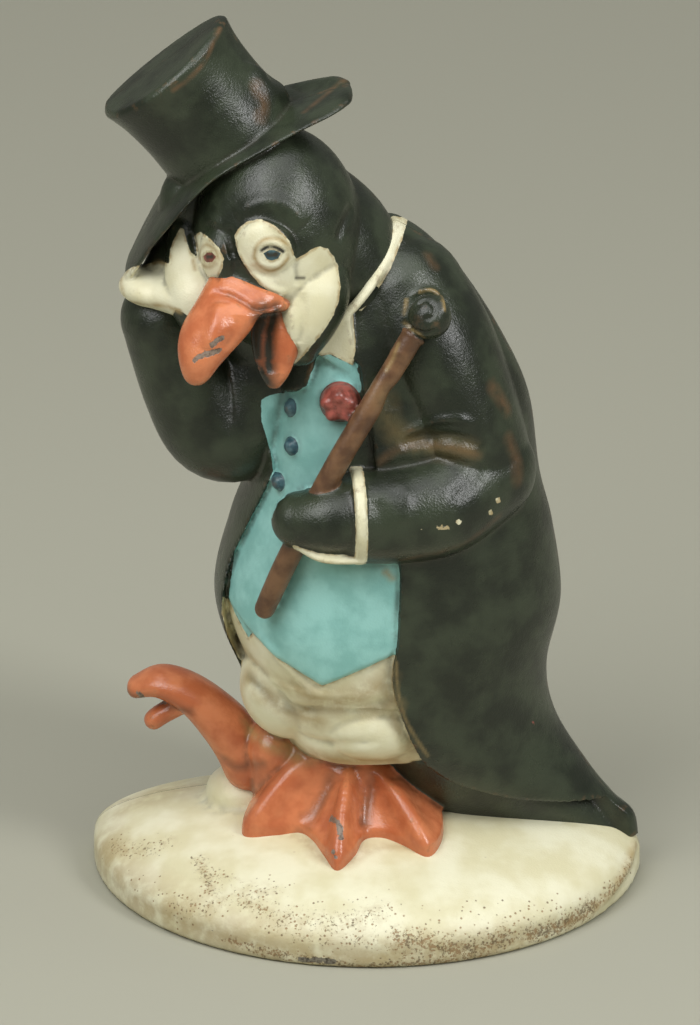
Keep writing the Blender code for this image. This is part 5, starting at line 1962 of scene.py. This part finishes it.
# Wear of sleeves, coat, trousers, cane and feet, and painted shade in the folds and the web's valleys.
DRESS_MARKS: tuple[Mark, ...] = (
    Mark(Wear.CHIP, ((331, 818), (339, 824), (342, 838)), 1.7, 0.9),
    Mark(Wear.CHIP, ((333, 850), (336, 857)), 1.2, 0.85),
    Mark(Wear.CHIP, ((138, 694), (150, 702), (165, 703)), 1.7, 0.8),
    Mark(Wear.CHIP, ((436, 526), (449, 527)), 0.8, 0.5),
    # Tan dirt and painted shade along the folds of the trousers and sleeve, the hem and the coat's edge.
    Mark(Wear.SOIL, ((236, 668), (262, 690), (290, 712), (318, 720)), 5.0, 0.75),
    Mark(Wear.SOIL, ((300, 712), (330, 708), (375, 708), (395, 700)), 4.5, 0.7),
    Mark(Wear.SOIL, ((272, 740), (300, 752), (340, 760), (400, 760)), 4.5, 0.75),
    Mark(Wear.SOIL, ((300, 690), (350, 690), (392, 672)), 4.0, 0.45),
    Mark(Wear.SOIL, ((384, 668), (388, 700), (398, 728), (412, 752)), 2.6, 0.6),
    Mark(Wear.SOIL, ((236, 640), (262, 668), (300, 696)), 3.0, 0.5),
    Mark(Wear.SOIL, ((246, 722), (262, 742), (300, 758)), 3.0, 0.7),
    Mark(Wear.SOIL, ((384, 398), (394, 432), (430, 446), (468, 452)), 5.0, 0.28),
    Mark(Wear.SOIL, ((396, 656), (398, 690), (408, 724), (428, 756)), 0.8, 0.5),
    Mark(Wear.SOIL, ((298, 688), (324, 702), (350, 700), (380, 684)), 6.0, 0.75),
    # Painted shade in the trousers' folds, the web's valleys and the creases by the feet.
    Mark(Wear.GRIME, ((300, 706), (330, 711), (372, 709), (394, 700)), 2.4, 0.3),
    Mark(Wear.GRIME, ((250, 676), (270, 698), (296, 714)), 2.2, 0.3),
    Mark(Wear.GRIME, ((264, 790), (282, 772), (306, 756)), 3.0, 0.25),
    Mark(Wear.GRIME, ((310, 826), (322, 800), (334, 772)), 2.6, 0.3),
    Mark(Wear.GRIME, ((364, 830), (368, 802), (374, 774)), 2.6, 0.3),
    Mark(Wear.GRIME, ((126, 690), (134, 697), (160, 705), (190, 712)), 2.0, 0.45),
    Mark(Wear.SOIL, ((386, 572), (392, 578)), 1.6, 0.9),
    Mark(Wear.SOIL, ((404, 324), (412, 332), (424, 340)), 0.8, 1.0),
    Mark(Wear.SOIL, ((420, 294), (432, 292), (442, 300), (444, 312)), 0.8, 1.0),
    Mark(Wear.SOIL, ((406, 302), (404, 316)), 0.8, 0.7),
    Mark(Wear.SOIL, ((398, 346), (392, 362), (386, 372)), 1.0, 0.6),
    Mark(Wear.RUB, ((492, 388), (500, 400), (506, 410)), 3.2, 0.7),
    Mark(Wear.RUB, ((508, 440), (516, 462), (517, 480)), 3.0, 0.6),
    Mark(Wear.RUB, ((428, 258), (434, 268)), 2.2, 0.5),
    Mark(Wear.RUB, ((380, 462), (402, 449), (440, 446), (476, 456)), 2.0, 0.55),
    Mark(Wear.RUB, ((366, 562), (400, 560), (460, 545), (498, 517)), 1.8, 0.4),
    Mark(Wear.GRIME, ((225, 760), (238, 768), (262, 764)), 2.2, 0.5),
)
# Rust and dirt on the mound, and tan washes that darken its front towards the bottom.
BASE_MARKS: tuple[Mark, ...] = (
    Mark(Wear.RUST, ((112, 846), (128, 852), (150, 850), (166, 843)), 6.0, 0.62),
    Mark(Wear.RUST, ((200, 860), (206, 876), (212, 892)), 4.5, 0.75),
    Mark(Wear.RUST, ((176, 908), (205, 906), (238, 894), (270, 890)), 8.0, 0.55),
    Mark(Wear.RUST, ((214, 872), (236, 880), (262, 888)), 4.0, 0.5),
    Mark(Wear.RUST, ((246, 902), (264, 909)), 3.5, 0.8),
    Mark(Wear.RUST, ((275, 915), (310, 922), (350, 922), (378, 910)), 9.0, 0.6),
    Mark(Wear.RUST, ((300, 935), (350, 940), (400, 936)), 7.0, 0.5),
    Mark(Wear.RUST, ((398, 938), (430, 944), (470, 948), (505, 938)), 7.0, 1.0),
    Mark(Wear.RUST, ((530, 934), (560, 926), (592, 907)), 5.5, 1.1),
    Mark(Wear.RUST, ((600, 902), (620, 884), (634, 866)), 3.5, 0.9),
    Mark(
        Wear.RUST, ((230, 940), (270, 951), (310, 959), (360, 964), (430, 961), (500, 953)), 3.0, 1.0
    ),
    Mark(Wear.RUST, ((130, 880), (170, 900)), 7.0, 0.3),
    Mark(Wear.RUST, ((440, 915), (500, 915), (550, 905)), 8.0, 0.25),
    Mark(Wear.SOIL, ((100, 850), (122, 886), (160, 912), (210, 932), (270, 946)), 13.0, 0.7),
    Mark(Wear.SOIL, ((270, 946), (340, 956), (430, 956), (520, 944)), 9.0, 0.7),
    Mark(Wear.SOIL, ((112, 818), (140, 804), (190, 790)), 8.0, 0.45),
    Mark(
        Wear.SOIL, ((250, 826), (300, 838), (318, 856), (344, 866), (372, 848), (420, 848)), 3.0, 0.5
    ),
    Mark(Wear.SOIL, ((638, 846), (620, 884), (592, 910), (550, 932)), 2.5, 0.8),
    Mark(Wear.CHIP, ((300, 958), (322, 959), (334, 960)), 1.6, 0.95),
    Mark(Wear.CHIP, ((212, 930), (216, 932)), 0.8, 0.8),
)


@dataclass
class Doorstop:
    """The whole doorstop: two hollow castings in three runs of relief, and the screws."""

    parting_y: float
    base: Base = field(default_factory=Base)
    dress: EveningDress = field(default_factory=EveningDress)
    head: HeadAndBeak = field(default_factory=HeadAndBeak)
    hat: TopHat = field(default_factory=TopHat)
    raised_arm: RaisedArm = field(default_factory=RaisedArm)
    folded_arm: FoldedArm = field(default_factory=FoldedArm)

    def reliefs(self) -> list[tuple[Relief, tuple[FormMaker, ...], Paint]]:
        """The three runs of relief.

        Returns:
            Each run with what models its forms and the paint under its masks.
        """
        face = Relief("head", 0.45, 5, FACE_STROKES, FACE_AREAS, FACE_MARKS)
        body = Relief("figure", 0.6, 4, DRESS_STROKES + KNOB_STROKES, DRESS_AREAS, DRESS_MARKS)
        mound = Relief("mound", 1.0, 2, strokes=BASE_STROKES, marks=BASE_MARKS)
        feet = Feet(self.base)
        dressed = (self.dress.forms, self.raised_arm.sleeve, self.folded_arm.forms, feet.forms)
        return [
            (face, (self.head.forms, self.hat.forms, self.raised_arm.hand), Paint.BLACK),
            (body, dressed, Paint.BLACK),
            (mound, (self.base.forms,), Paint.CREAM),
        ]

    def build(self) -> None:
        """Builds, splits, hollows and dresses the castings."""
        hollow = Hollow(self.dress, self.base, self.head)
        space = hollow.space()
        drills = {True: hollow.drills(True), False: hollow.drills(False)}
        enamel = EnamelledIron()
        iron = BareIron().build()
        reach = 300.0
        halfspace = ((-reach, -reach), (reach, -reach), (reach, reach), (-reach, reach))
        for relief, makers, base in self.reliefs():
            surface = relief.fuse([form for maker in makers for form in maker()])
            finish = enamel.build(base, pitted=base == Paint.CREAM)
            for front in (True, False):
                name = relief.name + ("_front" if front else "_rear")
                piece = copy_of(surface, name)
                side = -1.0 if front else 1.0
                keep = slab("keep", halfspace, side * SEAM / 2, side * reach)
                combine(piece, [keep], "INTERSECT")
                combine(piece, [space, drills[front]], "DIFFERENCE", keep=True)
                self.finish(piece, relief, finish, iron)
                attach(piece, "root")
                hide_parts("front_casting" if front else "rear_casting")
                log.info("%s: %d faces", name, len(piece.data.polygons))
            bpy.data.objects.remove(surface, do_unlink=True)
        for tool in (space, drills[True], drills[False]):
            bpy.data.objects.remove(tool, do_unlink=True)
        self.dress_screws()

    def finish(
        self,
        piece: bpy.types.Object,
        relief: Relief,
        finish: bpy.types.Material,
        iron: bpy.types.Material,
    ) -> None:
        """Masks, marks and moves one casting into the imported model's frame.

        Args:
            piece: The casting in millimetres.
            relief: The run of relief that it comes from.
            finish: Its painted material.
            iron: The material of its inside.
        """
        mesh = piece.data
        relief.paint_masks(piece)
        relief.wear(piece)
        index = np.empty(len(mesh.polygons), np.int32)
        mesh.polygons.foreach_get("material_index", index)
        inside = (index == PAINTS.index(Paint.IRON)).astype(np.int32)
        mesh.materials.clear()
        mesh.materials.append(finish)
        mesh.materials.append(iron)
        mesh.polygons.foreach_set("material_index", inside)
        moved = Matrix.Translation((0.0, self.parting_y * MM, 0.0))
        mesh.transform(moved @ Matrix.Scale(MM, 4))
        mesh.shade_smooth()
        mesh.set_sharp_from_angle(angle=math.radians(50.0))
        mesh.update()

    def dress_screws(self) -> None:
        """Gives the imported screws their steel."""
        steel = PlatedSteel().build()
        for name in ("upper_screw", "lower_screw"):
            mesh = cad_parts[name].data
            mesh.materials.clear()
            mesh.materials.append(steel)
            log.info("%s: dressed", name)


@dataclass
class Studio:
    """Pale floor, soft lights and the camera on the line of sight."""

    distance: float = 5.0
    sensor: float = 36.0
    picture_height: float = 1025.0
    target: tuple[float, float, float] = (-0.0046, 0.02185, 0.1015)
    lamp_distance: float = 1.4
    floor_colour: str = "#a6a595"
    surroundings_colour: str = "#c8c8c4"
    surroundings_strength: float = 0.35

    def camera(self) -> None:
        """Places the camera."""
        data = bpy.data.cameras.new("camera")
        data.sensor_width = self.sensor
        data.lens = SIGHT.scale / MM * self.distance / self.picture_height * self.sensor
        data.clip_end = 50.0
        camera = bpy.data.objects.new("camera", data)
        bpy.context.scene.collection.objects.link(camera)
        place = Vector(self.target) + SIGHT.back * self.distance
        turn = (-SIGHT.back).to_track_quat("-Z", "Y")
        camera.matrix_world = Matrix.Translation(place) @ turn.to_matrix().to_4x4()
        bpy.context.scene.camera = camera

    def light(
        self, name: str, turn: float, rise: float, width: float, height: float, power: float
    ) -> None:
        """Hangs one soft lamp that looks at the object.

        Args:
            name: The lamp's name.
            turn: How far it stands round from the front towards +X, in degrees.
            rise: How far it stands above level, in degrees.
            width: Its width in metres.
            height: Its height in metres.
            power: Its power in watts.
        """
        data = bpy.data.lights.new(name, "AREA")
        data.shape = "RECTANGLE"
        data.size = width
        data.size_y = height
        data.energy = power
        lamp = bpy.data.objects.new(name, data)
        bpy.context.scene.collection.objects.link(lamp)
        way = direction(math.radians(turn), math.radians(rise))
        place = Matrix.Translation(Vector(self.target) + way * self.lamp_distance)
        lamp.matrix_world = place @ (-way).to_track_quat("-Z", "Y").to_matrix().to_4x4()

    def floor(self) -> None:
        """Lays the floor."""
        bm = bmesh.new()
        bmesh.ops.create_grid(bm, x_segments=1, y_segments=1, size=8.0)
        mesh = bpy.data.meshes.new("floor")
        bm.to_mesh(mesh)
        bm.free()
        floor = bpy.data.objects.new("floor", mesh)
        bpy.context.scene.collection.objects.link(floor)
        material = bpy.data.materials.new("pale_paper")
        material.use_nodes = True
        tree = material.node_tree
        shader = tree.nodes["Principled BSDF"]
        shader.inputs["Base Color"].default_value = hex_colour(self.floor_colour)
        shader.inputs["Roughness"].default_value = 0.9
        mesh.materials.append(material)

    def build(self) -> None:
        """Sets up floor, lamps, surroundings and camera."""
        self.floor()
        self.light("key", 58.0, 38.0, 0.26, 0.7, 9.0)
        self.light("fill", -40.0, 48.0, 0.9, 0.9, 10.0)
        self.light("sky", -10.0, 80.0, 1.4, 1.4, 10.5)
        world = bpy.data.worlds.new("surroundings")
        world.use_nodes = True
        background = world.node_tree.nodes["Background"]
        background.inputs["Color"].default_value = hex_colour(self.surroundings_colour)
        background.inputs["Strength"].default_value = self.surroundings_strength
        bpy.context.scene.world = world
        bpy.context.scene.view_settings.view_transform = "Standard"
        self.camera()


def main() -> None:
    """Builds the doorstop and its studio."""
    logging.basicConfig(level=logging.INFO, format="%(message)s")
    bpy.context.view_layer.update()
    parting_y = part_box("rear_casting")[0].y / MM - PARTING_GAP / 2
    log.info("parting plane at %.3f mm", parting_y)
    Studio().build()
    Doorstop(parting_y).build()
    for paint in PAINTS:
        material = bpy.data.materials.get("work_" + paint.value)
        if material is not None:
            bpy.data.materials.remove(material)


if __name__ == "__main__":
    main()
